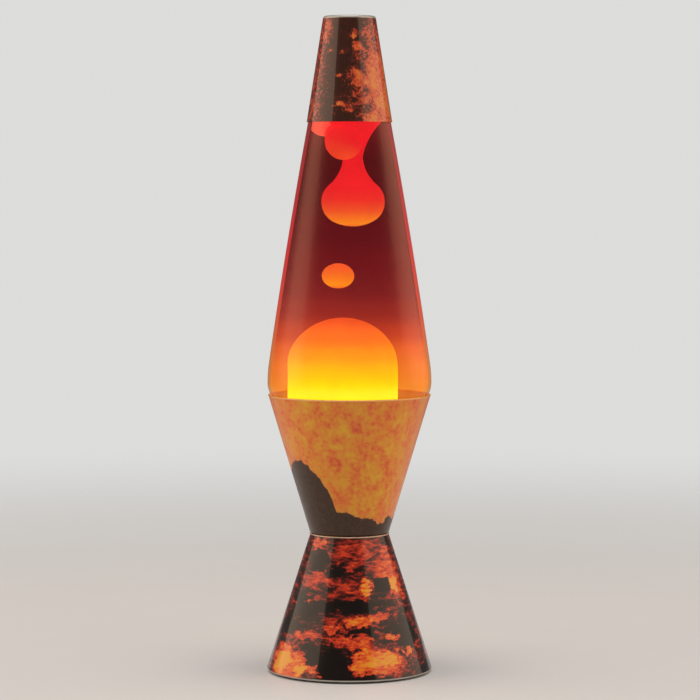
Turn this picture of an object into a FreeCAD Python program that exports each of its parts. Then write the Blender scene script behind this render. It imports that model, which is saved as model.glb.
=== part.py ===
"""Lava lamp of the 14.5 inch class: a spun metal base, a liquid-filled glass globe and a metal cap.

All lengths are millimetres. +Z is up, and the origin is the middle of the base on the table top.
The lamp comes apart as on a bench: the cap lifts off the globe, the globe lifts out of the cup, and the
bulb unscrews from the socket that hangs inside the foot. Each piece is one object with a Label of its own,
and its sizes are bound to the spreadsheet "dims".
"""
import FreeCAD, Part
import math
import os
import re

import Sketcher

DIMENSIONS = [
    # Foot: the lower spun cone
    ("foot_radius", 46.5, "outer radius just above the rolled edge"),
    ("foot_top_radius", 22.2, "outer radius at the top corner"),
    ("foot_top_corner", 77.6, "height of the top corner"),
    ("seam_height", 78.6, "where foot and cup meet"),
    ("foot_wall", 0.8, "sheet thickness"),
    ("foot_wall_across", 0.84, "sheet thickness measured level"),
    ("flange_hole", 19.2, "radius of the hole in the foot's top"),
    ("bead_radius", 1.2, "half the thickness of the rolled edge"),
    ("bead_height", 2.2, "height of the rolled edge's middle"),
    # Cup: the upper spun cone
    ("cup_low_radius", 22.65, "outer radius above the rounded bottom edge"),
    ("cup_low_corner", 80.2, "height where the cup's straight side starts"),
    ("cup_edge_round", 1.6, "radius of the rounded bottom edge"),
    ("cup_rim_radius", 45.65, "outer radius at the rim"),
    ("cup_rim_height", 156.4, "height of the rim"),
    ("cup_wall", 0.7, "sheet thickness"),
    ("cup_wall_across", 0.73, "sheet thickness measured level"),
    ("cup_hole", 18.3, "radius of the hole in the cup's floor"),
    ("tab_low", 76.2, "underside of the clinched tabs"),
    ("tab_reach", 20.6, "outer radius of the clinched tabs"),
    ("tab_angle", 30, "angle that one tab spans"),
    # Socket and its bracket
    ("bracket_sheet", 0.8, "thickness of the ring"),
    ("bracket_ring_radius", 20.8, "outer radius of the ring"),
    ("bracket_leg_outer", 20.3, "outer face of a leg"),
    ("bracket_leg_inner", 19.3, "inner face of a leg"),
    ("bracket_width", 7.0, "width of the legs"),
    ("bracket_low", 38.0, "underside of the cross bar"),
    ("socket_low", 39.0, "underside of the socket"),
    ("socket_high", 62.0, "top of the socket"),
    ("socket_radius", 12.0, "outer radius of the socket"),
    ("socket_cavity", 9.6, "radius of the socket's cavity"),
    ("socket_floor", 41.0, "floor of the socket's cavity"),
    ("socket_hole", 1.6, "radius of the fixing screw's hole"),
    ("shell_radius", 8.6, "clear radius of the threaded sleeve"),
    ("shell_sheet", 0.3, "thickness of the threaded sleeve"),
    ("shell_flange", 11.0, "outer radius of the sleeve's flange"),
    ("shell_lip", 1.0, "length of the sleeve's straight lower lip"),
    ("shell_first_turn", 46.0, "height of the sleeve's lowest thread"),
    ("contact_width", 5.0, "width of the centre contact"),
    ("contact_sheet", 0.5, "thickness of the centre contact"),
    ("contact_reach", 4.5, "half the length of the centre contact"),
    ("terminal_height", 46.0, "height of the terminal screws"),
    ("terminal_radius", 2.3, "radius of a terminal screw's head"),
    ("terminal_head", 1.6, "thickness of a terminal screw's head"),
    ("slot_width", 0.6, "width of a screw slot"),
    ("slot_depth", 0.7, "depth of a screw slot"),
    ("slot_overrun", 1.0, "how far a slot's cutter runs past the head"),
    ("screw_radius", 1.4, "radius of the socket's fixing screw"),
    ("screw_head_radius", 3.0, "radius of the fixing screw's head"),
    ("screw_head", 2.2, "height of the fixing screw's head"),
    # Bottom plate, feet and cord bushing
    ("plate_radius", 43.9, "outer radius of the bottom plate"),
    ("plate_low", 1.6, "underside of the bottom plate"),
    ("plate_sheet", 1.6, "thickness of the bottom plate"),
    ("plate_rim_wall", 2.0, "thickness of the plate's upstanding rim"),
    ("plate_rim_top", 5.0, "top of the plate's rim and lugs"),
    ("lug_radius", 44.5, "outer radius of the snap lugs"),
    ("lug_low", 3.7, "underside of the snap lugs"),
    ("lug_edge", 0.5, "thickness of a lug's outer edge"),
    ("lug_angle", 16, "angle that one lug spans"),
    ("vent_near", 18.0, "inner end of a vent slot"),
    ("vent_far", 30.0, "outer end of a vent slot"),
    ("vent_width", 3.2, "width of a vent slot"),
    ("pad_ring", 37.0, "distance of the rubber feet from the middle"),
    ("pad_radius", 5.0, "radius of a rubber foot"),
    ("pad_recess", 0.6, "depth that a foot sits in the plate"),
    ("bushing_height", 14.0, "height of the cord bushing on the wall"),
    ("bushing_tilt", 17.93, "angle of the wall's normal above level"),
    ("bushing_neck", 4.2, "radius of the bushing's neck"),
    ("bushing_play", 0.1, "gap between the neck and its hole"),
    ("bushing_flange", 5.6, "radius of the bushing's outer flange"),
    ("bushing_flange_sheet", 1.3, "thickness of the outer flange"),
    ("bushing_neck_depth", 1.4, "depth of the neck behind the wall's face"),
    ("bushing_lip", 5.2, "radius of the bushing's inner lip"),
    ("bushing_lip_edge", 0.5, "thickness of the lip's outer edge"),
    ("bushing_depth", 2.8, "depth of the whole bushing behind the wall's face"),
    ("cord_slot_width", 5.6, "width of the slot for the flat cord"),
    ("cord_slot_height", 3.0, "height of the slot for the flat cord"),
    # Bulb: S11 shape on an E17 base
    ("bulb_tip", 43.0, "lowest point of the bulb's contact"),
    ("bulb_contact_radius", 1.95, "radius of the bulb's contact"),
    ("bulb_insulator_low", 44.2, "underside of the insulator"),
    ("bulb_insulator_radius", 3.6, "radius of the insulator's underside"),
    ("bulb_shell_low", 47.0, "underside of the screw shell"),
    ("bulb_shell_lip", 6.8, "radius of the shell's underside"),
    ("bulb_shell_bore", 7.3, "inner radius of the screw shell"),
    ("bulb_shell_edge", 0.7, "height of the shell's sloping lower edge"),
    ("bulb_shell_inner_edge", 1.1, "height of the same edge on the inside"),
    ("bulb_insulator_seat", 0.6, "height that the insulator stands inside the shell"),
    ("bulb_shell_root", 7.8, "radius at the thread's roots"),
    ("bulb_first_turn", 48.5, "height of the shell's lowest thread"),
    ("bulb_shell_high", 60.5, "top of the screw shell"),
    ("thread_pitch", 2.8, "distance between two threads"),
    ("thread_round", 2.21, "radius of a rolled thread"),
    ("bulb_neck_radius", 7.1, "outer radius of the bulb's neck"),
    ("bulb_neck_low", 55.0, "lower end of the bulb's glass"),
    ("bulb_neck_high", 62.0, "where the bulb starts to widen"),
    ("bulb_shoulder_radius", 15.6, "outer radius where the flare ends"),
    ("bulb_shoulder_height", 76.5, "height where the flare ends"),
    ("bulb_shoulder_round", 13.8, "radius of the shoulder's curve"),
    ("bulb_radius", 17.5, "largest outer radius of the bulb"),
    ("bulb_middle", 83.5, "height of the bulb's largest radius"),
    ("bulb_wall", 0.7, "thickness of the bulb's glass"),
    ("stem_low", 56.0, "underside of the glass stem"),
    ("stem_flare", 5.9, "radius of the stem's flare"),
    ("stem_radius", 2.2, "radius of the stem's tube"),
    ("stem_neck", 61.5, "where the flare meets the tube"),
    ("stem_top", 72.0, "top of the stem"),
    ("wire_size", 0.6, "thickness of a lead wire"),
    ("lead_start", 1.2, "distance of a lead from the middle at the stem"),
    ("lead_bend", 74.0, "height where the leads spread"),
    ("lead_spread", 7.0, "distance of a lead from the middle at the filament"),
    ("filament_height", 84.0, "height of the filament's ends"),
    ("filament_round", 12.0, "radius of the filament's arc"),
    ("filament_size", 0.5, "thickness of the filament coil"),
    # Globe: the glass bottle
    ("globe_low", 114.0, "lowest ring of the globe"),
    ("globe_punt", 115.2, "middle of the globe's underside"),
    ("globe_foot_radius", 24.0, "inner radius of the ring it stands on"),
    ("globe_heel_radius", 27.2, "outer radius of the ring it stands on"),
    ("globe_heel_height", 118.2, "where the heel meets the lower side"),
    ("globe_heel_side", 31.94, "outer radius where the heel ends"),
    ("globe_heel_round", 5.0, "radius of the heel's curve"),
    ("globe_low_radius", 45.5, "outer radius where the lower side ends"),
    ("globe_low_corner", 159.3, "height where the lower side ends"),
    ("globe_low_round", 15.0, "radius of the curve under the widest ring"),
    ("globe_radius", 46.1, "largest outer radius"),
    ("globe_middle", 163.5, "height of the largest radius"),
    ("globe_high_round", 76.0, "radius of the curve over the widest ring"),
    ("globe_high_radius", 45.15, "outer radius where that curve ends"),
    ("globe_high_corner", 175.5, "height where that curve ends"),
    ("globe_side_round", 3800.0, "radius of the long side's slight swell"),
    ("globe_cap_radius", 23.2, "outer radius at the cap's edge"),
    ("globe_shoulder_radius", 19.4, "outer radius where the shoulder starts"),
    ("globe_shoulder_height", 332.0, "height where the shoulder starts"),
    ("globe_shoulder_round", 9.0, "radius of the shoulder"),
    ("globe_neck_foot_radius", 14.0, "outer radius where the shoulder ends"),
    ("globe_neck_foot", 337.4, "height where the shoulder ends"),
    ("globe_neck_radius", 13.0, "outer radius of the neck"),
    ("globe_neck_height", 338.4, "height where the neck starts"),
    ("globe_lip_radius", 13.4, "outer radius of the lip"),
    ("globe_lip_height", 345.5, "underside of the lip"),
    ("globe_lip_edge", 0.6, "size of the lip's bevelled edges"),
    ("globe_top", 349.0, "top of the lip"),
    ("globe_neck_bore", 9.5, "inner radius of the neck"),
    ("globe_wall", 2.0, "thickness of the glass measured level"),
    ("globe_floor", 117.2, "inside of the globe's floor"),
    ("globe_floor_radius", 25.0, "radius of the globe's flat floor"),
    ("globe_inner_heel", 121.0, "height where the inner heel ends"),
    ("globe_inner_heel_radius", 30.86, "inner radius where the inner heel ends"),
    ("globe_inner_shoulder", 331.0, "height where the inner shoulder starts"),
    ("globe_inner_neck_foot", 335.8, "height where the inner shoulder ends"),
    # Crown closure
    ("crown_top", 350.2, "top of the crown closure"),
    ("crown_low", 344.4, "lower edge of the skirt"),
    ("crown_sheet", 0.4, "thickness of the closure's plate"),
    ("crown_bore", 13.55, "inner radius of the skirt"),
    ("crown_skirt", 15.6, "outer radius of the skirt's lower edge"),
    ("crown_shoulder", 14.2, "outer radius of the plate's edge"),
    ("crown_edge", 1.0, "rounding of the plate's edge"),
    ("flute_radius", 0.9, "radius of one flute"),
    ("flute_ring", 15.9, "distance of the flutes from the middle"),
    ("liner_radius", 12.9, "radius of the sealing liner"),
    # Liquid and wax
    ("fluid_level", 330.0, "surface of the liquid"),
    ("wax_trim_height", 335.0, "top of the upper wax before the liquid's surface trims it"),
    ("mound_offset", 3.8, "how far the mound leans to the left"),
    ("mound_radius", 31.0, "radius of the mound"),
    ("mound_shoulder", 173.0, "height where the mound's dome starts"),
    ("mound_dome", 26.7, "height of the mound's dome"),
    ("coil_ring", 19.0, "radius of the wire coil's ring"),
    ("coil_radius", 3.2, "radius of the wire coil's turns"),
    ("coil_clearance", 0.3, "gap under the wire coil"),
    ("column_offset", 2.0, "how far the hanging column stands to the right"),
    ("column_tip", 251.0, "lowest point of the column"),
    ("column_tip_round", 24.0, "radius of the column's underside"),
    ("column_side_radius", 11.0, "radius where the underside ends"),
    ("column_side_height", 253.7, "height where the underside ends"),
    ("column_side_round", 11.8, "radius of the column's lower side"),
    ("column_radius", 17.7, "largest radius of the column's drop"),
    ("column_middle", 264.1, "height of that largest radius"),
    ("column_shoulder_radius", 13.6, "radius where the drop turns in"),
    ("column_shoulder_height", 274.0, "height where the drop turns in"),
    ("column_shoulder_round", 12.0, "radius of the drop's upper side"),
    ("column_waist_radius", 5.5, "smallest radius of the column"),
    ("column_waist_height", 290.0, "height of the smallest radius"),
    ("column_waist_round", 21.0, "radius of the curve under the waist"),
    ("column_flare_round", 36.0, "radius of the curve over the waist"),
    ("column_flare_radius", 16.0, "radius where the column meets the pool"),
    ("column_flare_height", 309.3, "height of that radius"),
    ("pool_low", 312.0, "underside of the floating pool"),
    ("side_lobe_offset", 13.8, "distance of the left lobe from the middle"),
    ("side_lobe_height", 311.4, "height of the left lobe"),
    ("side_lobe_radius", 10.2, "radius of the left lobe"),
    ("front_lobe_offset", 3.2, "distance of the front lobe to the left"),
    ("front_lobe_forward", 8.0, "distance of the front lobe to the front"),
    ("front_lobe_height", 298.7, "height of the front lobe"),
    ("front_lobe_radius", 10.6, "radius of the front lobe"),
    ("drop_offset", 6.4, "distance of the free drop from the middle"),
    ("drop_height", 223.2, "height of the free drop"),
    ("drop_radius", 9.1, "half the width of the free drop"),
    ("drop_half_height", 6.95, "half the height of the free drop"),
    ("drop_play", 0.35, "gap round the drop's path"),
    ("drop_path_low", 190.0, "lower end of the drop's path, inside the mound"),
    ("drop_rise", 16.0, "how far the drop can rise"),
    # Cap
    ("cap_low_radius", 23.95, "outer radius at the cap's lower edge"),
    ("cap_low", 309.2, "height of the cap's lower edge"),
    ("cap_high_radius", 14.86, "outer radius where the top edge's curve starts"),
    ("cap_high_corner", 366.8, "height where the top edge's curve starts"),
    ("cap_edge_reach", 1.5, "how far in the top edge's curve reaches"),
    ("cap_edge_round", 1.575, "radius of the top edge's curve"),
    ("cap_top", 368.3, "top of the cap"),
    ("cap_wall", 0.5, "sheet thickness"),
]
TABS = 3
VENTS = 12
LUGS = 4
FEET = 4
FLUTES = 21
BULB_TURNS = 4
SOCKET_TURNS = 5

doc = FreeCAD.newDocument("lava_lamp")
sheet = doc.addObject("Spreadsheet::Sheet", "dims")
parts = []


# ---------------------------------------------------------------- spreadsheet and formulas
def fill_sheet():
    """Writes each dimension as a number with an alias, and says beside it what it is."""
    for row, (alias, size, meaning) in enumerate(DIMENSIONS, start=1):
        sheet.set(f"A{row}", str(size))
        sheet.setAlias(f"A{row}", alias)
        sheet.set(f"B{row}", meaning)
    doc.recompute()


def bound(formula):
    """Turns the aliases in a formula into references to the spreadsheet."""
    aliases = {alias for alias, size, meaning in DIMENSIONS}
    return re.sub(r"[a-z_]+", lambda word: f"dims.{word[0]}" if word[0] in aliases else word[0], formula)


def size_of(formula):
    """The number that a formula gives."""
    return float(sheet.evalExpression(bound(formula)))


def bind(thing, **formulas):
    """Binds properties to formulas; a double underscore stands for the dot in a property's path."""
    for name, formula in formulas.items():
        thing.setExpression(name.replace("__", "."), bound(formula))


def keep(thing, name):
    """Names a finished piece and puts it on the list that is written out."""
    thing.Label = name
    parts.append(thing)
    return thing


# ---------------------------------------------------------------- bodies, sketches and features
def new_body(name):
    body = doc.addObject("PartDesign::Body", name)
    body.AllowCompound = True
    return body


def origin_feature(body, role):
    return next(feature for feature in body.Origin.OriginFeatures if feature.Role == role)


def new_sketch(body, name, role="XZ_Plane", offset=None):
    """A sketch on one of the body's origin planes, or at a distance from it along its normal."""
    sketch = body.newObject("Sketcher::SketchObject", name)
    sketch.AttachmentSupport = [(origin_feature(body, role), "")]
    sketch.MapMode = "FlatFace"
    if offset:
        bind(sketch, AttachmentOffset__Base__z=offset)
        doc.recompute()
    return sketch


def pin(sketch, geometry, point, across, up):
    """Holds a point at the distances from the sketch's origin that two formulas give."""
    for kind, axis, formula in (("DistanceX", -2, across), ("DistanceY", -1, up)):
        if formula == "0":
            sketch.addConstraint(Sketcher.Constraint("PointOnObject", geometry, point, axis))
            continue
        held = Sketcher.Constraint(kind, -1, 1, geometry, point, size_of(formula))
        sketch.setExpression(f"Constraints[{sketch.addConstraint(held)}]", bound(formula))


def draw_edge(sketch, start, end, bulge):
    """Draws a line, or an arc of radius bulge, and says which end of it is which.

    A positive bulge swells to the right of the way from start to end, a negative one to the left.
    """
    first = FreeCAD.Vector(*start, 0)
    last = FreeCAD.Vector(*end, 0)
    if not bulge:
        return sketch.addGeometry(Part.LineSegment(first, last), False), 1, 2
    half = (last - first).Length / 2
    rise = abs(bulge) - math.sqrt(bulge * bulge - half * half)
    side = FreeCAD.Vector(last.y - first.y, first.x - last.x, 0).normalize() * math.copysign(rise, bulge)
    geometry = sketch.addGeometry(Part.Arc(first, (first + last) / 2 + side, last), False)
    if sketch.getPoint(geometry, 1).distanceToPoint(first) < sketch.getPoint(geometry, 2).distanceToPoint(first):
        return geometry, 1, 2
    return geometry, 2, 1


def outline(sketch, corners):
    """Draws a closed outline, listed anticlockwise.

    A corner is two formulas, across and up. A third formula is the radius of the arc that runs to the next
    corner: positive where the outline swells outwards, negative where it is hollow.
    """
    places = [(size_of(corner[0]), size_of(corner[1])) for corner in corners]
    edges = []
    for index, corner in enumerate(corners):
        bulge = size_of(corner[2]) if len(corner) > 2 else 0
        edges.append(draw_edge(sketch, places[index], places[(index + 1) % len(corners)], bulge))
        if bulge:
            held = Sketcher.Constraint("Radius", edges[-1][0], abs(bulge))
            sketch.setExpression(f"Constraints[{sketch.addConstraint(held)}]", f"abs({bound(corner[2])})")
    for index, (geometry, first, last) in enumerate(edges):
        following = edges[(index + 1) % len(edges)]
        sketch.addConstraint(Sketcher.Constraint("Coincident", geometry, last, following[0], following[1]))
        pin(sketch, geometry, first, corners[index][0], corners[index][1])


def circle(sketch, across, up, radius):
    middle = FreeCAD.Vector(size_of(across), size_of(up), 0)
    geometry = sketch.addGeometry(Part.Circle(middle, FreeCAD.Vector(0, 0, 1), size_of(radius)), False)
    held = Sketcher.Constraint("Radius", geometry, size_of(radius))
    sketch.setExpression(f"Constraints[{sketch.addConstraint(held)}]", bound(radius))
    pin(sketch, geometry, 3, across, up)


def box_corners(left, right, low, high):
    """The corners of an upright rectangle."""
    return [(left, low), (right, low), (right, high), (left, high)]


def slot_corners(left, right, width):
    """The corners of a level slot with round ends, each end drawn as two quarter circles."""
    half = width + " / 2"
    return [
        (f"{left} + {half}", "-" + half),
        (f"{right} - {half}", "-" + half, half),
        (right, "0", half),
        (f"{right} - {half}", half),
        (f"{left} + {half}", half, half),
        (left, "0", half),
    ]


def turned(body, name, corners, angle=None, kind="PartDesign::Revolution"):
    """Turns an outline about the body's own Z axis, all round or over an angle astride the X axis."""
    sketch = new_sketch(body, name + "_sketch")
    outline(sketch, corners)
    feature = body.newObject(kind, name)
    feature.Profile = sketch
    feature.ReferenceAxis = (sketch, ["V_Axis"])
    feature.Angle = 360
    if angle:
        feature.Midplane = True
        bind(feature, Angle=angle)
    doc.recompute()
    return feature


def extruded(body, name, sketch, length, astride=False):
    feature = body.newObject("PartDesign::Pad", name)
    feature.Profile = sketch
    feature.Midplane = astride
    bind(feature, Length=length)
    doc.recompute()
    return feature


def cut_through(body, name, sketch, astride=False, depth=None, reverse=False):
    """Cuts a sketch out of the body, and stops the script if that took nothing away."""
    before = body.Shape.Volume
    feature = body.newObject("PartDesign::Pocket", name)
    feature.Profile = sketch
    feature.Midplane = astride
    feature.Reversed = reverse
    if depth:
        bind(feature, Length=depth)
    else:
        feature.Type = "ThroughAll"
    doc.recompute()
    if body.Shape.Volume >= before - 1e-6:
        raise RuntimeError(f"{name} cuts nothing")
    return feature


def repeated(body, name, features, count):
    """Repeats features all round the body's Z axis."""
    pattern = body.newObject("PartDesign::PolarPattern", name)
    pattern.Originals = features
    pattern.Axis = (origin_feature(body, "Z_Axis"), [""])
    pattern.Angle = 360
    pattern.Occurrences = count
    body.Tip = pattern
    doc.recompute()
    return pattern


def mirrored(body, name, features, role="YZ_Plane"):
    mirror = body.newObject("PartDesign::Mirrored", name)
    mirror.Originals = features
    mirror.MirrorPlane = (origin_feature(body, role), [""])
    body.Tip = mirror
    doc.recompute()
    return mirror


def turned_piece(name, corners):
    """A piece that is one turned outline."""
    body = new_body(name)
    turned(body, name + "_turned", corners)
    return keep(body, name)


def joined(kind, name, **links):
    """A Part boolean of whole objects."""
    result = doc.addObject(kind, name)
    for link, thing in links.items():
        setattr(result, link, thing)
    doc.recompute()
    return result


# ---------------------------------------------------------------- base
def bushing_place():
    """Where the cord bushing's axis meets the back of the foot's wall, and the turn that points it outwards."""
    fall = (size_of("foot_radius") - size_of("foot_top_radius")) / size_of("foot_top_corner - bead_height")
    reach = size_of("foot_radius") - fall * size_of("bushing_height - bead_height")
    turn = FreeCAD.Rotation(FreeCAD.Vector(1, 0, 0), size_of("bushing_tilt") - 90)
    return FreeCAD.Placement(FreeCAD.Vector(0, reach, size_of("bushing_height")), turn)


def make_foot():
    body = new_body("foot_cone")
    bead_middle = "foot_radius - bead_radius"
    turned(body, "foot_wall_turned", [
        ("foot_radius - 2 * bead_radius", "bead_height", "bead_radius"),
        (bead_middle, "bead_height - bead_radius", "bead_radius"),
        ("foot_radius", "bead_height"),
        ("foot_top_radius", "foot_top_corner", "seam_height - foot_top_corner"),
        ("foot_top_radius - seam_height + foot_top_corner", "seam_height"),
        ("flange_hole", "seam_height"),
        ("flange_hole", "seam_height - foot_wall"),
        ("foot_top_radius - foot_wall_across", "seam_height - foot_wall"),
        (bead_middle, "bead_height + bead_radius", "bead_radius"),
    ])
    hole = body.newObject("PartDesign::SubtractiveCylinder", "bushing_hole")
    bind(hole, Radius="bushing_neck + bushing_play", Height="2 * bushing_depth")
    place = bushing_place()
    hole.Placement = place.multiply(FreeCAD.Placement(FreeCAD.Vector(0, 0, -size_of("bushing_depth")),
                                                      FreeCAD.Rotation()))
    doc.recompute()
    return keep(body, "foot_cone")


def make_cup():
    body = new_body("cup_cone")
    turned(body, "cup_wall_turned", [
        ("cup_hole", "seam_height"),
        ("cup_low_radius - cup_edge_round", "seam_height", "cup_edge_round"),
        ("cup_low_radius", "cup_low_corner"),
        ("cup_rim_radius", "cup_rim_height"),
        ("cup_rim_radius - cup_wall_across", "cup_rim_height"),
        ("cup_low_radius - cup_wall_across", "cup_low_corner", "-(cup_edge_round - cup_wall)"),
        ("cup_low_radius - cup_edge_round", "seam_height + cup_wall"),
        ("cup_hole", "seam_height + cup_wall"),
    ])
    tab = turned(body, "clinched_tab", [
        ("cup_hole", "tab_low"),
        ("tab_reach", "tab_low"),
        ("tab_reach", "tab_low + foot_wall"),
        ("cup_hole + foot_wall", "tab_low + foot_wall"),
        ("cup_hole + foot_wall", "seam_height"),
        ("cup_hole", "seam_height"),
    ], angle="tab_angle")
    repeated(body, "clinched_tabs", [tab], TABS)
    return keep(body, "cup_cone")


def make_bracket():
    """A ring clamped under the foot's flange, and a U-shaped strip that carries the socket."""
    body = new_body("socket_bracket")
    turned(body, "clamped_ring", box_corners(
        "flange_hole", "bracket_ring_radius",
        "seam_height - foot_wall - bracket_sheet", "seam_height - foot_wall"))
    sketch = new_sketch(body, "strip_sketch", "YZ_Plane")
    outline(sketch, [
        ("-bracket_leg_outer", "bracket_low"),
        ("bracket_leg_outer", "bracket_low"),
        ("bracket_leg_outer", "seam_height - foot_wall"),
        ("bracket_leg_inner", "seam_height - foot_wall"),
        ("bracket_leg_inner", "socket_low"),
        ("-bracket_leg_inner", "socket_low"),
        ("-bracket_leg_inner", "seam_height - foot_wall"),
        ("-bracket_leg_outer", "seam_height - foot_wall"),
    ])
    extruded(body, "strip", sketch, "bracket_width", astride=True)
    hole = new_sketch(body, "strip_hole_sketch", "XY_Plane")
    circle(hole, "0", "0", "socket_hole")
    cut_through(body, "strip_hole", hole, astride=True)
    return keep(body, "socket_bracket")


def make_socket_body():
    return turned_piece("socket_body", [
        ("socket_hole", "socket_low"),
        ("socket_radius", "socket_low"),
        ("socket_radius", "socket_high"),
        ("socket_cavity", "socket_high"),
        ("socket_cavity", "socket_floor"),
        ("socket_hole", "socket_floor"),
    ])


def make_socket_shell():
    """The threaded sleeve: rolled rings between two straight lips, with a flange on the socket's top."""
    outer = "shell_radius + shell_sheet"
    heights = [f"shell_first_turn + {turn} * thread_pitch" for turn in range(SOCKET_TURNS + 1)]
    outside = [(outer, height, "thread_round") for height in heights[:-1]]
    inside = [("shell_radius", height, "-thread_round") for height in reversed(heights[1:])]
    return turned_piece("socket_shell", [
        (outer, "shell_first_turn - shell_lip"),
        *outside,
        (outer, heights[-1]),
        (outer, "socket_high"),
        ("shell_flange", "socket_high"),
        ("shell_flange", "socket_high + shell_sheet"),
        ("shell_radius", "socket_high + shell_sheet"),
        *inside,
        ("shell_radius", heights[0]),
        ("shell_radius", "shell_first_turn - shell_lip"),
    ])


def make_socket_contact():
    """A brass strip folded back over itself, whose free end presses on the bulb's contact."""
    body = new_body("socket_contact")
    sketch = new_sketch(body, "contact_sketch")
    outline(sketch, [
        ("-contact_reach", "socket_floor"),
        ("contact_reach + contact_sheet", "socket_floor"),
        ("contact_reach + contact_sheet", "bulb_tip - contact_sheet"),
        ("-contact_reach / 2", "bulb_tip"),
        ("-contact_reach / 2", "bulb_tip - contact_sheet"),
        ("contact_reach", "bulb_tip - 2 * contact_sheet"),
        ("contact_reach", "socket_floor + contact_sheet"),
        ("-contact_reach", "socket_floor + contact_sheet"),
    ])
    extruded(body, "contact_strip", sketch, "contact_width", astride=True)
    return keep(body, "socket_contact")


def make_terminals():
    """Two slotted screw heads, one on each side of the socket."""
    body = new_body("socket_terminals")
    head = new_sketch(body, "head_sketch", "YZ_Plane", offset="socket_radius")
    circle(head, "0", "terminal_height", "terminal_radius")
    head_pad = extruded(body, "terminal_head", head, "terminal_head")
    slot = new_sketch(body, "slot_sketch", "YZ_Plane", offset="socket_radius + terminal_head")
    outline(slot, box_corners("-terminal_radius - slot_overrun", "terminal_radius + slot_overrun",
                              "terminal_height - slot_width / 2", "terminal_height + slot_width / 2"))
    slot_cut = cut_through(body, "terminal_slot", slot, depth="slot_depth")
    mirrored(body, "terminal_pair", [head_pad, slot_cut])
    return keep(body, "socket_terminals")


def make_socket_screw():
    body = new_body("socket_screw")
    turned(body, "screw_turned", [
        ("0", "bracket_low - screw_head"),
        ("screw_head_radius", "bracket_low - screw_head"),
        ("screw_head_radius", "bracket_low"),
        ("screw_radius", "bracket_low"),
        ("screw_radius", "socket_floor"),
        ("0", "socket_floor"),
    ])
    slot = new_sketch(body, "screw_slot_sketch", "XY_Plane", offset="bracket_low - screw_head")
    outline(slot, box_corners("-screw_head_radius - slot_overrun", "screw_head_radius + slot_overrun",
                              "-slot_width / 2", "slot_width / 2"))
    cut_through(body, "screw_slot", slot, depth="slot_depth", reverse=True)
    return keep(body, "socket_screw")


def make_bottom_plate():
    """The plastic plate that closes the foot: vents, snap lugs and shallow seats for the feet."""
    body = new_body("bottom_plate")
    plate_top = "plate_low + plate_sheet"
    turned(body, "plate_turned", [
        ("0", "plate_low"),
        ("plate_radius", "plate_low"),
        ("plate_radius", "plate_rim_top"),
        ("plate_radius - plate_rim_wall", "plate_rim_top"),
        ("plate_radius - plate_rim_wall", plate_top),
        ("0", plate_top),
    ])
    lug = turned(body, "snap_lug", [
        ("plate_radius - plate_rim_wall / 2", "lug_low"),
        ("lug_radius", "lug_low"),
        ("lug_radius", "lug_low + lug_edge"),
        ("plate_radius", "plate_rim_top"),
        ("plate_radius - plate_rim_wall / 2", "plate_rim_top"),
    ], angle="lug_angle")
    repeated(body, "snap_lugs", [lug], LUGS)
    seat = new_sketch(body, "foot_seat_sketch", "XY_Plane", offset="plate_low")
    circle(seat, "pad_ring", "0", "pad_radius")
    seat_cut = cut_through(body, "foot_seat", seat, depth="pad_recess", reverse=True)
    repeated(body, "foot_seats", [seat_cut], FEET)
    vent = new_sketch(body, "vent_sketch", "XY_Plane")
    outline(vent, slot_corners("vent_near", "vent_far", "vent_width"))
    vent_cut = cut_through(body, "vent", vent, astride=True)
    repeated(body, "vents", [vent_cut], VENTS)
    return keep(body, "bottom_plate")


def make_rubber_feet():
    body = new_body("rubber_feet")
    sketch = new_sketch(body, "pad_sketch", "XY_Plane")
    circle(sketch, "pad_ring", "0", "pad_radius")
    pad = extruded(body, "pad", sketch, "plate_low + pad_recess")
    repeated(body, "pads", [pad], FEET)
    return keep(body, "rubber_feet")


def make_bushing():
    """A snap-in bushing with a slot for a flat cord, square to the foot's sloping back."""
    body = new_body("cord_bushing")
    turned(body, "bushing_turned", [
        ("0", "-bushing_depth"),
        ("bushing_neck", "-bushing_depth"),
        ("bushing_lip", "-bushing_neck_depth - bushing_lip_edge"),
        ("bushing_lip", "-bushing_neck_depth"),
        ("bushing_neck", "-bushing_neck_depth"),
        ("bushing_neck", "0"),
        ("bushing_flange", "0"),
        ("bushing_flange", "bushing_flange_sheet / 2", "bushing_flange_sheet"),
        ("bushing_flange - bushing_flange_sheet / 2", "bushing_flange_sheet"),
        ("0", "bushing_flange_sheet"),
    ])
    slot = new_sketch(body, "cord_slot_sketch", "XY_Plane")
    outline(slot, slot_corners("-cord_slot_width / 2", "cord_slot_width / 2", "cord_slot_height"))
    cut_through(body, "cord_slot", slot, astride=True)
    body.Placement = bushing_place()
    doc.recompute()
    return keep(body, "cord_bushing")


# ---------------------------------------------------------------- bulb
def make_bulb_glass():
    return turned_piece("bulb_glass", [
        ("bulb_neck_radius - bulb_wall", "bulb_neck_low"),
        ("bulb_neck_radius", "bulb_neck_low"),
        ("bulb_neck_radius", "bulb_neck_high"),
        ("bulb_shoulder_radius", "bulb_shoulder_height", "bulb_shoulder_round"),
        ("bulb_radius", "bulb_middle", "bulb_radius"),
        ("0", "bulb_middle + bulb_radius"),
        ("0", "bulb_middle + bulb_radius - bulb_wall", "-(bulb_radius - bulb_wall)"),
        ("bulb_radius - bulb_wall", "bulb_middle", "-(bulb_shoulder_round - bulb_wall)"),
        ("bulb_shoulder_radius - bulb_wall", "bulb_shoulder_height + bulb_wall / 2"),
        ("bulb_neck_radius - bulb_wall", "bulb_neck_high + bulb_wall / 2"),
    ])


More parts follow.
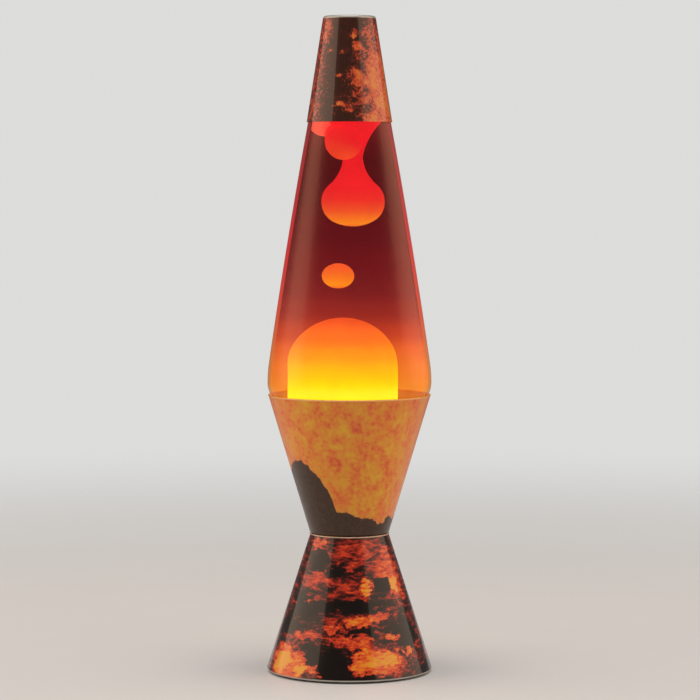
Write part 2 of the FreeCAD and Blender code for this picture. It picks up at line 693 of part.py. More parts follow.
def make_bulb_shell():
    heights = [f"bulb_first_turn + {turn} * thread_pitch" for turn in range(BULB_TURNS + 1)]
    return turned_piece("bulb_screw_shell", [
        ("bulb_shell_lip", "bulb_shell_low"),
        ("bulb_shell_root", "bulb_shell_low + bulb_shell_edge"),
        *[("bulb_shell_root", height, "thread_round") for height in heights[:-1]],
        ("bulb_shell_root", heights[-1]),
        ("bulb_shell_root", "bulb_shell_high"),
        ("bulb_shell_bore", "bulb_shell_high"),
        ("bulb_shell_bore", "bulb_shell_low + bulb_shell_inner_edge"),
        ("bulb_shell_lip", "bulb_shell_low + bulb_insulator_seat"),
    ])


def make_bulb_insulator():
    return turned_piece("bulb_insulator", [
        ("bulb_contact_radius", "bulb_insulator_low"),
        ("bulb_insulator_radius", "bulb_insulator_low"),
        ("bulb_shell_lip", "bulb_shell_low"),
        ("bulb_shell_lip", "bulb_shell_low + bulb_insulator_seat"),
        ("bulb_contact_radius", "bulb_shell_low + bulb_insulator_seat"),
    ])


def make_bulb_contact():
    return turned_piece("bulb_contact", [
        ("0", "bulb_tip", "2 * bulb_contact_radius"),
        ("bulb_contact_radius", "bulb_insulator_low"),
        ("bulb_contact_radius", "bulb_shell_low + bulb_insulator_seat"),
        ("0", "bulb_shell_low + bulb_insulator_seat"),
    ])


def make_bulb_stem():
    return turned_piece("bulb_stem", [
        ("0", "stem_low"),
        ("stem_flare", "stem_low"),
        ("stem_flare", "stem_low + bulb_wall"),
        ("stem_radius", "stem_neck"),
        ("stem_radius", "stem_top"),
        ("0", "stem_top"),
    ])


def make_bulb_leads():
    """Two wires that rise from the stem and spread to the filament's ends."""
    body = new_body("bulb_leads")
    sketch = new_sketch(body, "lead_sketch")
    outline(sketch, [
        ("lead_start", "stem_top"),
        ("lead_start + wire_size", "stem_top"),
        ("lead_start + wire_size", "lead_bend"),
        ("lead_spread + wire_size", "filament_height"),
        ("lead_spread", "filament_height"),
        ("lead_start", "lead_bend + wire_size / 2"),
    ])
    lead = extruded(body, "lead", sketch, "wire_size", astride=True)
    mirrored(body, "lead_pair", [lead])
    return keep(body, "bulb_leads")


def make_filament():
    """The coiled filament as a slim arc between the tops of the two leads."""
    body = new_body("bulb_filament")
    sketch = new_sketch(body, "filament_sketch")
    reach = "lead_spread + wire_size"
    top = "filament_height + filament_size"
    outline(sketch, [
        ("-(" + reach + ")", "filament_height", "-filament_round"),
        (reach, "filament_height"),
        (reach, top, "filament_round"),
        ("-(" + reach + ")", top),
    ])
    extruded(body, "filament_arc", sketch, "filament_size", astride=True)
    return keep(body, "bulb_filament")


# ---------------------------------------------------------------- globe
def globe_inside_corners():
    """The globe's inner face from its floor up to the liquid's surface, seen as the edge of the contents."""
    return [
        ("0", "globe_floor"),
        ("globe_floor_radius", "globe_floor", "globe_heel_round"),
        ("globe_inner_heel_radius", "globe_inner_heel"),
        ("globe_low_radius - globe_wall", "globe_low_corner", "globe_low_round - globe_wall"),
        ("globe_radius - globe_wall", "globe_middle", "globe_high_round - globe_wall"),
        ("globe_high_radius - globe_wall", "globe_high_corner", "globe_side_round - globe_wall"),
        ("globe_cap_radius - globe_wall", "cap_low"),
    ]


def make_globe_glass():
    inner = globe_inside_corners()
    inner_going_down = []
    for index in range(len(inner) - 1, 0, -1):
        arc_below = inner[index - 1][2:]
        inner_going_down.append((*inner[index][:2], *(f"-({radius})" for radius in arc_below)))
    return turned_piece("globe_glass", [
        ("0", "globe_punt"),
        ("globe_foot_radius", "globe_low"),
        ("globe_heel_radius", "globe_low", "globe_heel_round"),
        ("globe_heel_side", "globe_heel_height"),
        ("globe_low_radius", "globe_low_corner", "globe_low_round"),
        ("globe_radius", "globe_middle", "globe_high_round"),
        ("globe_high_radius", "globe_high_corner", "globe_side_round"),
        ("globe_cap_radius", "cap_low"),
        ("globe_shoulder_radius", "globe_shoulder_height", "globe_shoulder_round"),
        ("globe_neck_foot_radius", "globe_neck_foot"),
        ("globe_neck_radius", "globe_neck_height"),
        ("globe_neck_radius", "globe_lip_height"),
        ("globe_lip_radius", "globe_lip_height + globe_lip_edge"),
        ("globe_lip_radius", "globe_top - globe_lip_edge"),
        ("globe_lip_radius - globe_lip_edge", "globe_top"),
        ("globe_neck_bore", "globe_top"),
        ("globe_neck_bore", "globe_neck_foot"),
        ("globe_neck_foot_radius - globe_wall", "globe_inner_neck_foot", "-(globe_shoulder_round - globe_wall)"),
        ("globe_shoulder_radius - globe_wall", "globe_inner_shoulder"),
        *inner_going_down,
        ("0", "globe_floor"),
    ])


def make_globe_inside():
    """The space inside the globe up to the liquid's surface; it shapes the contents and isn't a piece."""
    side_fall = "(globe_cap_radius - globe_shoulder_radius) / (globe_inner_shoulder - cap_low)"
    surface = f"globe_cap_radius - globe_wall - {side_fall} * (fluid_level - cap_low)"
    body = new_body("globe_inside")
    turned(body, "globe_inside_turned", [*globe_inside_corners(), (surface, "fluid_level"), ("0", "fluid_level")])
    return body


def make_crown():
    """The fluted steel crown that seals the neck."""
    body = new_body("crown_closure")
    turned(body, "crown_turned", [
        ("crown_bore", "crown_low"),
        ("crown_skirt", "crown_low"),
        ("crown_shoulder", "crown_top - crown_edge", "crown_edge"),
        ("crown_shoulder - crown_edge", "crown_top"),
        ("0", "crown_top"),
        ("0", "crown_top - crown_sheet"),
        ("crown_bore", "crown_top - crown_sheet"),
    ])
    sketch = new_sketch(body, "flute_sketch", "XY_Plane")
    circle(sketch, "flute_ring", "0", "flute_radius")
    flute = cut_through(body, "flute", sketch, astride=True)
    repeated(body, "flutes", [flute], FLUTES)
    return keep(body, "crown_closure")


def make_crown_liner():
    return turned_piece("crown_liner", box_corners("0", "liner_radius", "globe_top", "crown_top - crown_sheet"))


def solid(kind, name, **formulas):
    """A Part primitive with every size bound to the sheet."""
    primitive = doc.addObject(kind, name)
    if kind == "Part::Ellipsoid":
        primitive.Angle1 = -90
    bind(primitive, **formulas)
    doc.recompute()
    return primitive


def mound_shape():
    """The wax mound before the globe's wall trims it: a round block under a flattened dome."""
    block = solid("Part::Cylinder", "mound_block", Radius="mound_radius", Height="mound_shoulder - globe_low",
                  Placement__Base__x="-mound_offset", Placement__Base__z="globe_low")
    dome = solid("Part::Ellipsoid", "mound_dome", Radius1="mound_dome", Radius2="mound_radius",
                 Radius3="mound_radius", Placement__Base__x="-mound_offset", Placement__Base__z="mound_shoulder")
    return joined("Part::Fuse", "mound", Base=block, Tool=dome)


def upper_shape():
    """The wax under the cap before the wall trims it: a floating pool, two lobes and a hanging column."""
    column = new_body("column")
    turned(column, "column_turned", [
        ("0", "column_tip", "column_tip_round"),
        ("column_side_radius", "column_side_height", "column_side_round"),
        ("column_radius", "column_middle", "column_shoulder_round"),
        ("column_shoulder_radius", "column_shoulder_height", "-column_waist_round"),
        ("column_waist_radius", "column_waist_height", "-column_flare_round"),
        ("column_flare_radius", "column_flare_height"),
        ("column_flare_radius", "wax_trim_height"),
        ("0", "wax_trim_height"),
    ])
    bind(column, Placement__Base__x="column_offset")
    pool = solid("Part::Cylinder", "pool", Radius="globe_cap_radius", Height="wax_trim_height - pool_low",
                 Placement__Base__z="pool_low")
    side_lobe = solid("Part::Sphere", "side_lobe", Radius="side_lobe_radius",
                      Placement__Base__x="-side_lobe_offset", Placement__Base__z="side_lobe_height")
    front_lobe = solid("Part::Sphere", "front_lobe", Radius="front_lobe_radius",
                       Placement__Base__x="-front_lobe_offset", Placement__Base__y="-front_lobe_forward",
                       Placement__Base__z="front_lobe_height")
    return joined("Part::MultiFuse", "upper", Shapes=[column, pool, side_lobe, front_lobe])


def make_contents():
    """The wax, the wire coil that lies in it, the free drop, and the liquid that fills the rest."""
    inside = make_globe_inside()
    mound = mound_shape()
    upper = upper_shape()
    keep(joined("Part::Common", "mound_in_globe", Base=mound, Tool=inside), "wax_mound")
    keep(joined("Part::Common", "upper_in_globe", Base=upper, Tool=inside), "wax_upper")
    keep(solid("Part::Torus", "coil", Radius1="coil_ring", Radius2="coil_radius",
               Placement__Base__z="globe_floor + coil_radius + coil_clearance"), "wax_coil")
    keep(solid("Part::Ellipsoid", "drop", Radius1="drop_half_height", Radius2="drop_radius",
               Radius3="drop_radius", Placement__Base__x="-drop_offset", Placement__Base__z="drop_height"),
         "wax_drop")
    path = solid("Part::Cylinder", "drop_path", Radius="drop_radius + drop_play",
                 Height="drop_height + drop_half_height + drop_rise + drop_play - drop_path_low",
                 Placement__Base__x="-drop_offset", Placement__Base__z="drop_path_low")
    not_liquid = joined("Part::MultiFuse", "not_liquid", Shapes=[mound, upper, path])
    keep(joined("Part::Cut", "liquid", Base=inside, Tool=not_liquid), "clear_fluid")


# ---------------------------------------------------------------- cap
def make_cap():
    return turned_piece("cap_cone", [
        ("cap_low_radius - cap_wall", "cap_low"),
        ("cap_low_radius", "cap_low"),
        ("cap_high_radius", "cap_high_corner", "cap_edge_round"),
        ("cap_high_radius - cap_edge_reach", "cap_top"),
        ("0", "cap_top"),
        ("0", "cap_top - cap_wall"),
        ("cap_high_radius - cap_edge_reach", "cap_top - cap_wall", "-(cap_edge_round - cap_wall)"),
        ("cap_high_radius - cap_wall", "cap_high_corner"),
    ])


# ---------------------------------------------------------------- checks and files
def check_document():
    """Stops the script if any object failed, or if a piece has no sound shape."""
    doc.recompute()
    for thing in doc.Objects:
        if "Invalid" in thing.State or "Error" in thing.State:
            raise RuntimeError(f"{thing.Name} failed: {thing.State}")
    for piece in parts:
        shape = piece.Shape
        if shape.isNull() or not shape.isValid() or not shape.Solids:
            raise RuntimeError(f"{piece.Label} has no valid solid")
        print(f"{piece.Label}: {len(shape.Solids)} solid(s), {shape.Volume:.1f} mm3")


def write_parts():
    os.makedirs("parts", exist_ok=True)
    for piece in parts:
        piece.Shape.exportStep(f"parts/{piece.Label}.step")


fill_sheet()
for make in (make_foot, make_cup, make_bracket, make_socket_body, make_socket_shell, make_socket_contact,
             make_terminals, make_socket_screw, make_bottom_plate, make_rubber_feet, make_bushing,
             make_bulb_glass, make_bulb_shell, make_bulb_insulator, make_bulb_contact, make_bulb_stem,
             make_bulb_leads, make_filament, make_globe_glass, make_crown, make_crown_liner, make_contents,
             make_cap):
    make()
check_document()
write_parts()
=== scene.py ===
"""Looks of a lit lava lamp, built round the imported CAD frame.

Lengths are metres, but the prints and looks work in millimetres of height. +Z is up and -Y is the front.
Angles round the lamp are degrees from the front, positive to the right as seen from there.
"""

import math

import bmesh
import bpy
import numpy as np
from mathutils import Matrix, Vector, noise


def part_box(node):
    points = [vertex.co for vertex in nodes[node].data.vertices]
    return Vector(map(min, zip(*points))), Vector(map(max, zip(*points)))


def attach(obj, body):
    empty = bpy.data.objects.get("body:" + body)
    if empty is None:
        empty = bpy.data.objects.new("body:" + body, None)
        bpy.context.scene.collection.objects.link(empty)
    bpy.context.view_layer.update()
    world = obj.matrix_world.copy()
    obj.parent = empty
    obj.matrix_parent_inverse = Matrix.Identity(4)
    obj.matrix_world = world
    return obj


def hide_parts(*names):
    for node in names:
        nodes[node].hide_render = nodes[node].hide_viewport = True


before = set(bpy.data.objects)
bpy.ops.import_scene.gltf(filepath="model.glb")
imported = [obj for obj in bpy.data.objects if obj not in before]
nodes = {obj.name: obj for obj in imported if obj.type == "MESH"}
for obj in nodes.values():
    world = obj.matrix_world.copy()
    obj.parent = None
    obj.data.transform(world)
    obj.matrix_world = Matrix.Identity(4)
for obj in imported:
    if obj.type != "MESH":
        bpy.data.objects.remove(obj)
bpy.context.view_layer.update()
scene = bpy.context.scene
MM = 0.001


# ---------------------------------------------------------------- colours
def tone(red, green, blue):
    """A display colour, each part 0 to 255, as the linear light that shows it."""
    parts = []
    for part in (red, green, blue):
        share = part / 255
        parts.append(share / 12.92 if share <= 0.04045 else ((share + 0.055) / 1.055) ** 2.4)
    return tuple(parts)


def between(stops, height):
    """The colour at a height, from a list of (height, colour) in rising order."""
    heights = [stop[0] for stop in stops]
    return tuple(float(np.interp(height, heights, [stop[1][part] for stop in stops])) for part in range(3))


# How bright the backdrop is that shows through the globe
BACKDROP = 0.72

# What shows through the whole globe, and through the edge of its wall alone, by height in mm
BODY_LOOK = [
    (157, tone(216, 132, 34)),
    (172, tone(212, 112, 32)),
    (182, tone(206, 94, 33)),
    (190, tone(184, 64, 33)),
    (204, tone(142, 40, 32)),
    (215, tone(118, 28, 28)),
    (230, tone(110, 18, 23)),
    (248, tone(94, 12, 18)),
    (268, tone(82, 9, 15)),
    (288, tone(82, 10, 14)),
    (310, tone(104, 17, 21)),
]
EDGE_LOOK = [
    (157, tone(219, 140, 62)),
    (172, tone(219, 128, 56)),
    (182, tone(219, 114, 52)),
    (190, tone(219, 96, 48)),
    (204, tone(219, 74, 45)),
    (215, tone(219, 56, 44)),
    (230, tone(214, 42, 42)),
    (248, tone(204, 32, 42)),
    (268, tone(186, 30, 40)),
    (288, tone(166, 32, 40)),
    (310, tone(144, 36, 42)),
]

# Painted glow for the globe's inner face: the light that the liquid scatters from the glowing wax, given as
# emission by height in mm
PAINTED_SCATTER_GLOW = [
    (157, (0.17, 0.060, 0.002)),
    (170, (0.16, 0.045, 0.001)),
    (182, (0.12, 0.020, 0.001)),
    (192, (0.07, 0.006, 0.0005)),
    (205, (0.035, 0.001, 0.0005)),
    (235, (0.012, 0.0005, 0.0005)),
    (310, (0.01, 0.0005, 0.0005)),
]


def outer_filter(height):
    """How much one crossing of the globe's outer face lets through."""
    return tuple(min(1.0, math.sqrt(part / BACKDROP)) for part in between(EDGE_LOOK, height))


def inner_filter(height):
    """How much one crossing of the globe's inner face lets through."""
    body, edge = between(BODY_LOOK, height), between(EDGE_LOOK, height)
    return tuple(min(1.0, math.sqrt(b / e)) for b, e in zip(body, edge))


def behind_glass(look, height):
    """The light that a glowing surface must give to show as a colour through the globe's wall."""
    outer, inner = outer_filter(height), inner_filter(height)
    return tuple(part / (o * i) for part, o, i in zip(look, outer, inner))


# ---------------------------------------------------------------- shader trees
class Shader:
    """A material's node tree: each method adds one node and returns its output."""

    def __init__(self, name):
        self.material = bpy.data.materials.new(name)
        self.material.use_nodes = True
        self.tree = self.material.node_tree
        self.tree.nodes.clear()
        self.place = self.node("ShaderNodeTexCoord").outputs["Object"]

    def node(self, kind, inputs=(), **settings):
        """A node with its settings, and its inputs linked to outputs or set to values; None leaves one be."""
        made = self.tree.nodes.new(kind)
        for setting, value in settings.items():
            setattr(made, setting, value)
        for socket, value in dict(inputs).items():
            if isinstance(value, bpy.types.NodeSocket):
                self.tree.links.new(value, made.inputs[socket])
            elif value is not None:
                made.inputs[socket].default_value = value
        return made

    def math(self, operation, first, second=None, third=None):
        """A sum or other arithmetic on one to three values."""
        inputs = {0: first, 1: second, 2: third}
        return self.node("ShaderNodeMath", inputs, operation=operation).outputs[0]

    def scaled(self, vector, across, up):
        """A vector stretched alike in X and Y, and by another factor in Z."""
        inputs = {0: vector, 1: (across, across, up)}
        return self.node("ShaderNodeVectorMath", inputs, operation="MULTIPLY").outputs[0]

    def parts(self, vector):
        """A vector's X, Y and Z."""
        return self.node("ShaderNodeSeparateXYZ", {0: vector}).outputs

    def height_mm(self):
        """Millimetres above the surface that the lamp stands on."""
        return self.math("MULTIPLY", self.parts(self.place)["Z"], 1000)

    def azimuth(self):
        """Degrees round the lamp from the front, positive to the right."""
        place = self.parts(self.place)
        forwards = self.math("MULTIPLY", place["Y"], -1)
        return self.math("DEGREES", self.math("ARCTAN2", place["X"], forwards))

    def faces_inwards(self):
        """1 on faces that look towards the lamp's axis, 0 on the others."""
        normal = self.node("ShaderNodeTexCoord").outputs["Normal"]
        level = self.scaled(self.place, 1, 0)
        outward = self.node("ShaderNodeVectorMath", {0: normal, 1: level}, operation="DOT_PRODUCT")
        return self.math("LESS_THAN", outward.outputs["Value"], 0)

    def grain(self, size_mm, up=1.0, detail=3, roughness=0.55, distortion=0.0, seed=0.0):
        """Noise with lumps of about that size; up above 1 flattens them into level streaks."""
        vector = self.scaled(self.place, 1000 / size_mm, 1000 * up / size_mm)
        inputs = {"Vector": vector, "W": seed, "Scale": 1, "Detail": detail, "Roughness": roughness,
                  "Distortion": distortion}
        return self.node("ShaderNodeTexNoise", inputs, noise_dimensions="4D").outputs["Fac"]

    def spread(self, value, low, high, to_low=0.0, to_high=1.0, smooth=False):
        """A value's range mapped onto another, and held at its ends."""
        inputs = {"Value": value, "From Min": low, "From Max": high, "To Min": to_low, "To Max": to_high}
        kind = "SMOOTHSTEP" if smooth else "LINEAR"
        return self.node("ShaderNodeMapRange", inputs, interpolation_type=kind).outputs[0]

    def ramp(self, value, stops, kind="LINEAR"):
        """A colour ramp over value; stops are (position, colour or grey)."""
        made = self.node("ShaderNodeValToRGB", {0: value})
        made.color_ramp.interpolation = kind
        elements = made.color_ramp.elements
        while len(elements) < len(stops):
            elements.new(1.0)
        for element, (position, colour) in zip(elements, stops):
            element.position = position
            element.color = (*colour, 1) if isinstance(colour, tuple) else (colour, colour, colour, 1)
        return made.outputs["Color"]

    def by_height(self, stops, kind="LINEAR"):
        """A colour by height in mm, and the strength that the colours have to be multiplied by."""
        low, high = stops[0][0], stops[-1][0]
        peak = max(1.0, max(max(colour) for height, colour in stops))
        share = self.spread(self.height_mm(), low, high)
        scaled = []
        for height, colour in stops:
            scaled.append(((height - low) / (high - low), tuple(part / peak for part in colour)))
        return self.ramp(share, scaled, kind), peak

    def mix(self, share, first, second, blend="MIX"):
        """Two colours mixed, or blended in another way, by a share."""
        made = self.node("ShaderNodeMix", data_type="RGBA", blend_type=blend)
        for socket, value in ((0, share), (6, first), (7, second)):
            if isinstance(value, bpy.types.NodeSocket):
                self.tree.links.new(value, made.inputs[socket])
            else:
                made.inputs[socket].default_value = (*value, 1) if isinstance(value, tuple) else value
        return made.outputs[2]

    def bump(self, height, depth_mm, strength):
        """A normal that shows the height as relief."""
        inputs = {"Height": height, "Distance": depth_mm * MM, "Strength": strength}
        return self.node("ShaderNodeBump", inputs).outputs["Normal"]

    def surface(self, **inputs):
        """Principled, with each input named as on the node but with _ for a space."""
        named = {}
        for key, value in inputs.items():
            if isinstance(value, tuple):
                value = (*value, 1)
            named[key.replace("_", " ")] = value
        return self.node("ShaderNodeBsdfPrincipled", named).outputs[0]

    def sheen(self, normal=None):
        """How much of the light a clear face's front reflects: 4 % head-on, up to 64 % at a grazing angle."""
        head_on, added, falloff = 0.04, 0.6, 5
        facing = self.node("ShaderNodeLayerWeight", {"Blend": 0.5, "Normal": normal}).outputs["Facing"]
        outside = self.math("SUBTRACT", 1, self.node("ShaderNodeNewGeometry").outputs["Backfacing"])
        share = self.math("MULTIPLY_ADD", self.math("POWER", facing, falloff), added, head_on)
        return self.math("MULTIPLY", share, outside)

    def done(self, shader):
        """The material, with this shader as its surface."""
        self.node("ShaderNodeOutputMaterial", {"Surface": shader})
        return self.material


# ---------------------------------------------------------------- prints on the metal
def blob(sh, azimuth, height, at, up, across_mm, tall_mm, radius_mm):
    """1 in the middle of an oval at an angle and height on the print, 0 at its edge, below 0 outside."""
    sideways = sh.math("MULTIPLY", sh.math("SUBTRACT", azimuth, at), math.radians(1) * radius_mm / across_mm)
    upright = sh.math("MULTIPLY", sh.math("SUBTRACT", height, up), 1 / tall_mm)
    square = sh.math("ADD", sh.math("MULTIPLY", sideways, sideways), sh.math("MULTIPLY", upright, upright))
    return sh.math("SUBTRACT", 1, sh.math("SQRT", square))


def lacquered(sh, colour, relief, relief_mm, bare, coat=0.7, coat_blur=0.045):
    """The print under a clear gloss lacquer, and bare aluminium where bare is 1 and on the inside."""
    haze = sh.spread(sh.grain(6, detail=5, seed=31), 0.3, 0.7, 0.28, 0.4)
    printed = sh.surface(
        Base_Color=colour, Roughness=haze, Specular_IOR_Level=0.22,
        Coat_Weight=coat, Coat_Roughness=coat_blur, Normal=sh.bump(relief, relief_mm, 0.35))
    rings = sh.grain(22, up=30, detail=3, seed=35)
    dull = sh.spread(sh.grain(7, detail=4, seed=37), 0.35, 0.7)
    aluminium = sh.surface(
        Base_Color=sh.mix(dull, (0.58, 0.54, 0.49), (0.46, 0.43, 0.39)), Metallic=0.55,
        Roughness=sh.spread(rings, 0.3, 0.7, 0.34, 0.48), Normal=sh.bump(rings, 0.02, 0.5))
    share = sh.math("MAXIMUM", bare, sh.faces_inwards())
    return sh.done(sh.node("ShaderNodeMixShader", {0: share, 1: printed, 2: aluminium}).outputs[0])


def foot_print():
    """Black crust over molten rock in level streaks, with large glowing patches low at both sides."""
    sh = Shader("foot_print")
    azimuth, height = sh.azimuth(), sh.height_mm()
    sideways = sh.grain(8, up=1.6, detail=5, roughness=0.6, distortion=0.6, seed=3)
    wander = sh.spread(sideways, 0.25, 0.75, -1, 1)
    ragged_azimuth = sh.math("MULTIPLY_ADD", wander, 9, azimuth)
    upright = sh.grain(6, up=1.5, detail=5, roughness=0.62, seed=8)
    lift = sh.spread(upright, 0.25, 0.75, -1, 1)
    ragged_height = sh.math("MULTIPLY_ADD", lift, 4, height)
    streaks = sh.grain(11, up=2.8, detail=7, roughness=0.66, distortion=1.1, seed=1)
    heat = sh.spread(streaks, 0.32, 0.68, 0.12, 0.62)
    # angle, height, half width, half height, radius of the foot there, how much hotter or colder
    patches = [
        (-50, 8, 18, 10, 44.7, 0.44),
        (-62, 12, 11, 10, 43.5, 0.35),
        (-31, 6.5, 11, 3, 44.9, 0.4),
        (20, 10, 23, 9.5, 44.1, 0.42),
        (27, 12, 12, 5, 43.5, 0.2),
        (14, 18, 8, 4, 41.5, 0.3),
        (-12, 10, 12, 11, 43.8, -0.6),
        (1, 1.5, 26, 5, 46, -0.7),
        (-31, 15, 6, 6.5, 42, -0.6),
        (-66, 29, 11, 7, 38, -0.35),
        (53, 25, 12, 9, 39, -0.55),
        (68, 6, 9, 8, 45, -0.4),
        (2, 41, 26, 3.8, 34, -0.45),
        (12, 28, 17, 2, 38, -0.35),
        (-47, 40, 13, 8, 34.4, -0.5),
        (2, 22.5, 19, 4.5, 40, 0.28),
        (-36, 24.5, 14, 3.4, 39, 0.32),
        (-14, 29.5, 10, 2.6, 38, 0.34),
        (8, 33, 11, 3, 36.6, 0.42),
        (27, 35.3, 10, 3, 36, 0.4),
        (37, 24, 5, 3, 39.6, 0.4),
        (50, 15, 5, 2.5, 42.6, 0.45),
        (63, 7, 5, 2.5, 45, 0.5),
        (-47, 74, 7, 3.5, 23.3, 0.35),
        (-40, 64, 8, 6, 26.6, -0.5),
        (-14, 60, 6, 4, 28, -0.35),
        (-40, 54.5, 13, 6.5, 29.6, 0.24),
        (-38, 43, 4, 2.2, 33.4, 0.6),
        (6, 69, 18, 10, 24.9, 0.14),
        (2, 49, 17, 8, 31.4, 0.10),
        (50, 61, 12, 15, 28, 0.3),
        (60, 49, 8, 8, 31.6, 0.3),
        (18, 51, 5, 5, 30.5, 0.5),
        (52, 52, 3, 5.5, 30, 0.5),
    ]
    for at, up, across, tall, radius, gain in patches:
        oval = blob(sh, ragged_azimuth, ragged_height, at, up, across, tall, radius)
        heat = sh.math("MULTIPLY_ADD", sh.spread(oval, 0, 0.5, smooth=True), gain, heat)
    cracks = sh.grain(3.0, up=2.4, detail=5, roughness=0.7, distortion=0.5, seed=5)
    heat = sh.math("ADD", heat, sh.spread(cracks, 0.3, 0.7, -0.17, 0.17))
    # The square dark hole: where it is, and half its size, in degrees across and in mm up
    hole_azimuth, hole_height = 39, 53.2
    half_across, half_up = 10, 3.7
    rough_azimuth = sh.math("MULTIPLY_ADD", cracks, 4, azimuth)
    rough_height = sh.math("MULTIPLY_ADD", cracks, 2, height)
    hole_across = sh.math("ABSOLUTE", sh.math("SUBTRACT", rough_azimuth, hole_azimuth))
    hole_up = sh.math("ABSOLUTE", sh.math("SUBTRACT", rough_height, hole_height))
    hole_across = sh.math("MULTIPLY", hole_across, 1 / half_across)
    hole_up = sh.math("MULTIPLY", hole_up, 1 / half_up)
    hole = sh.math("MAXIMUM", hole_across, hole_up)
    heat = sh.math("MULTIPLY", heat, sh.spread(hole, 0.92, 1.06))
    colour = sh.ramp(heat, [
        (0.0, tone(24, 15, 11)),
        (0.33, tone(40, 20, 14)),
        (0.42, tone(96, 28, 19)),
        (0.52, tone(166, 42, 24)),
        (0.65, tone(212, 64, 30)),
        (0.80, tone(232, 98, 34)),
        (1.0, tone(234, 158, 40)),
    ])
    return lacquered(sh, colour, heat, 0.05, sh.spread(height, 2.2, 1.8))


def cup_print():
    """Mottled orange over dark rock; the rock's jagged edge climbs to the left."""
    sh = Shader("cup_print")
    azimuth, height = sh.azimuth(), sh.height_mm()
    spots = sh.grain(2.3, detail=3, roughness=0.55, seed=2)
    patches = sh.grain(8, up=0.9, detail=4, distortion=0.3, seed=6)
    small, large = sh.spread(spots, 0.34, 0.72, 0, 0.42), sh.spread(patches, 0.38, 0.67, 0, 0.5)
    redness = sh.math("ADD", small, large)
    molten = sh.ramp(redness, [
        (0.10, tone(216, 158, 40)),
        (0.32, tone(216, 138, 40)),
        (0.5, tone(217, 118, 42)),
        (0.68, tone(212, 92, 44)),
        (0.92, tone(186, 58, 38)),
    ])
    # Painted side light: the print turns paler and pinker towards both sides as seen from the front
    painted_side_light = sh.spread(sh.math("ABSOLUTE", azimuth), 35, 85, 0, 0.55)
    molten = sh.mix(painted_side_light, molten, tone(222, 116, 62))
    # The height of the rock's edge in mm, by angle; the ramp that holds it runs from low to high
    low, high = 80, 125
    edge = [
        (-180, 101), (-150, 108), (-125, 99), (-100, 110), (-80, 113), (-67, 117.5), (-54, 120), (-43, 117),
        (-32, 110.5), (-24, 104), (-18.5, 96.5), (-16.5, 91), (-3, 91), (8, 88.6), (15, 87.6), (30, 87.4),
        (41, 83.5), (49, 84.5), (58, 88), (73, 85.6), (95, 92), (115, 88), (140, 97), (160, 95), (180, 101),
    ]
    stops = [((at + 180) / 360, (up - low) / (high - low)) for at, up in edge]
    share = sh.ramp(sh.spread(azimuth, -180, 180), stops)
    edge_height = sh.spread(share, 0, 1, low, high)
    ragged = sh.spread(sh.grain(3.0, detail=4, roughness=0.65, seed=4), 0.3, 0.7, 0.4, 3.0)
    depth = sh.math("SUBTRACT", sh.math("ADD", edge_height, ragged), height)
    rock_share = sh.spread(depth, -0.25, 0.25)
    rock_grain = sh.grain(2.4, detail=6, roughness=0.7, seed=9)
    rock = sh.ramp(rock_grain, [(0.3, tone(44, 24, 10)), (0.55, tone(62, 38, 20)), (0.75, tone(84, 56, 34))])
    scorched = sh.mix(sh.spread(depth, -3.5, 0, 0, 0.45), molten, tone(206, 112, 56))
    colour = sh.mix(rock_share, scorched, rock)
    return lacquered(sh, colour, rock_grain, 0.04, sh.spread(height, 156.1, 156.3), coat=0.3, coat_blur=0.22)


def cap_print():
    """Near-black crust with orange specks that crowd together to the right and towards the bottom."""
    sh = Shader("cap_print")
    azimuth, height = sh.azimuth(), sh.height_mm()
    specks = sh.grain(1.5, detail=4, roughness=0.75, distortion=0.3, seed=7)
    clusters = sh.grain(7, detail=3, roughness=0.5, distortion=0.5, seed=12)
    wander = sh.spread(clusters, 0.3, 0.7, -1, 1)
    drift = sh.math("MULTIPLY_ADD", wander, 9, azimuth)
    right = sh.spread(drift, 0, 46, 0.0, 0.62, smooth=True)
    lowness = sh.spread(height, 366, 332, 0.42, 1.0)
    left_edge = sh.spread(drift, -20, -64, 0.0, 0.36, smooth=True)
    behind = sh.spread(sh.math("ABSOLUTE", drift), 100, 150, 0.0, -0.25, smooth=True)
    crowd = sh.math("ADD", sh.math("MULTIPLY", right, lowness), sh.math("ADD", left_edge, behind))
    crowd = sh.math("ADD", crowd, sh.spread(clusters, 0.4, 0.72, -0.08, 0.18))
    ragged_azimuth = sh.math("MULTIPLY_ADD", sh.spread(specks, 0.3, 0.7, -1, 1), 5, azimuth)
    ragged_height = sh.math("MULTIPLY_ADD", wander, 1.5, height)
    # angle, height, half width, half height and how much more crowded
    cluster_radius = 19
    for at, up, across, tall, gain in (
        (10, 358, 3.2, 3.4, 0.42), (13, 351.5, 4.5, 3.2, 0.34), (-37, 349, 2.6, 1.6, 0.4),
        (-9, 347.5, 2.6, 1.8, 0.3), (8, 334, 6.5, 7.5, 0.34), (-17, 335, 3.2, 1.6, 0.42),
        (13, 326, 4.5, 6.5, 0.3), (-14, 319, 3.2, 2.0, 0.42), (-1, 316, 3.4, 2.0, 0.36),
        (-46, 360, 7, 10, 0.17), (-4, 321, 9, 6, 0.17), (9, 343, 4, 8, 0.2),
    ):
        oval = blob(sh, ragged_azimuth, ragged_height, at, up, across, tall, cluster_radius)
        crowd = sh.math("MULTIPLY_ADD", sh.spread(oval, 0, 0.6, smooth=True), gain, crowd)
    heat = sh.math("ADD", crowd, sh.spread(specks, 0.3, 0.72, -0.1, 0.56))
    colour = sh.ramp(heat, [
        (0.0, tone(54, 26, 13)),
        (0.30, tone(66, 31, 18)),
        (0.44, tone(80, 36, 22)),
        (0.53, tone(122, 44, 28)),
        (0.64, tone(194, 68, 38)),
        (0.82, tone(220, 98, 44)),
        (1.0, tone(214, 132, 50)),
    ])
    return lacquered(sh, colour, specks, 0.04, sh.spread(height, 366.7, 367.0), coat=1.0)


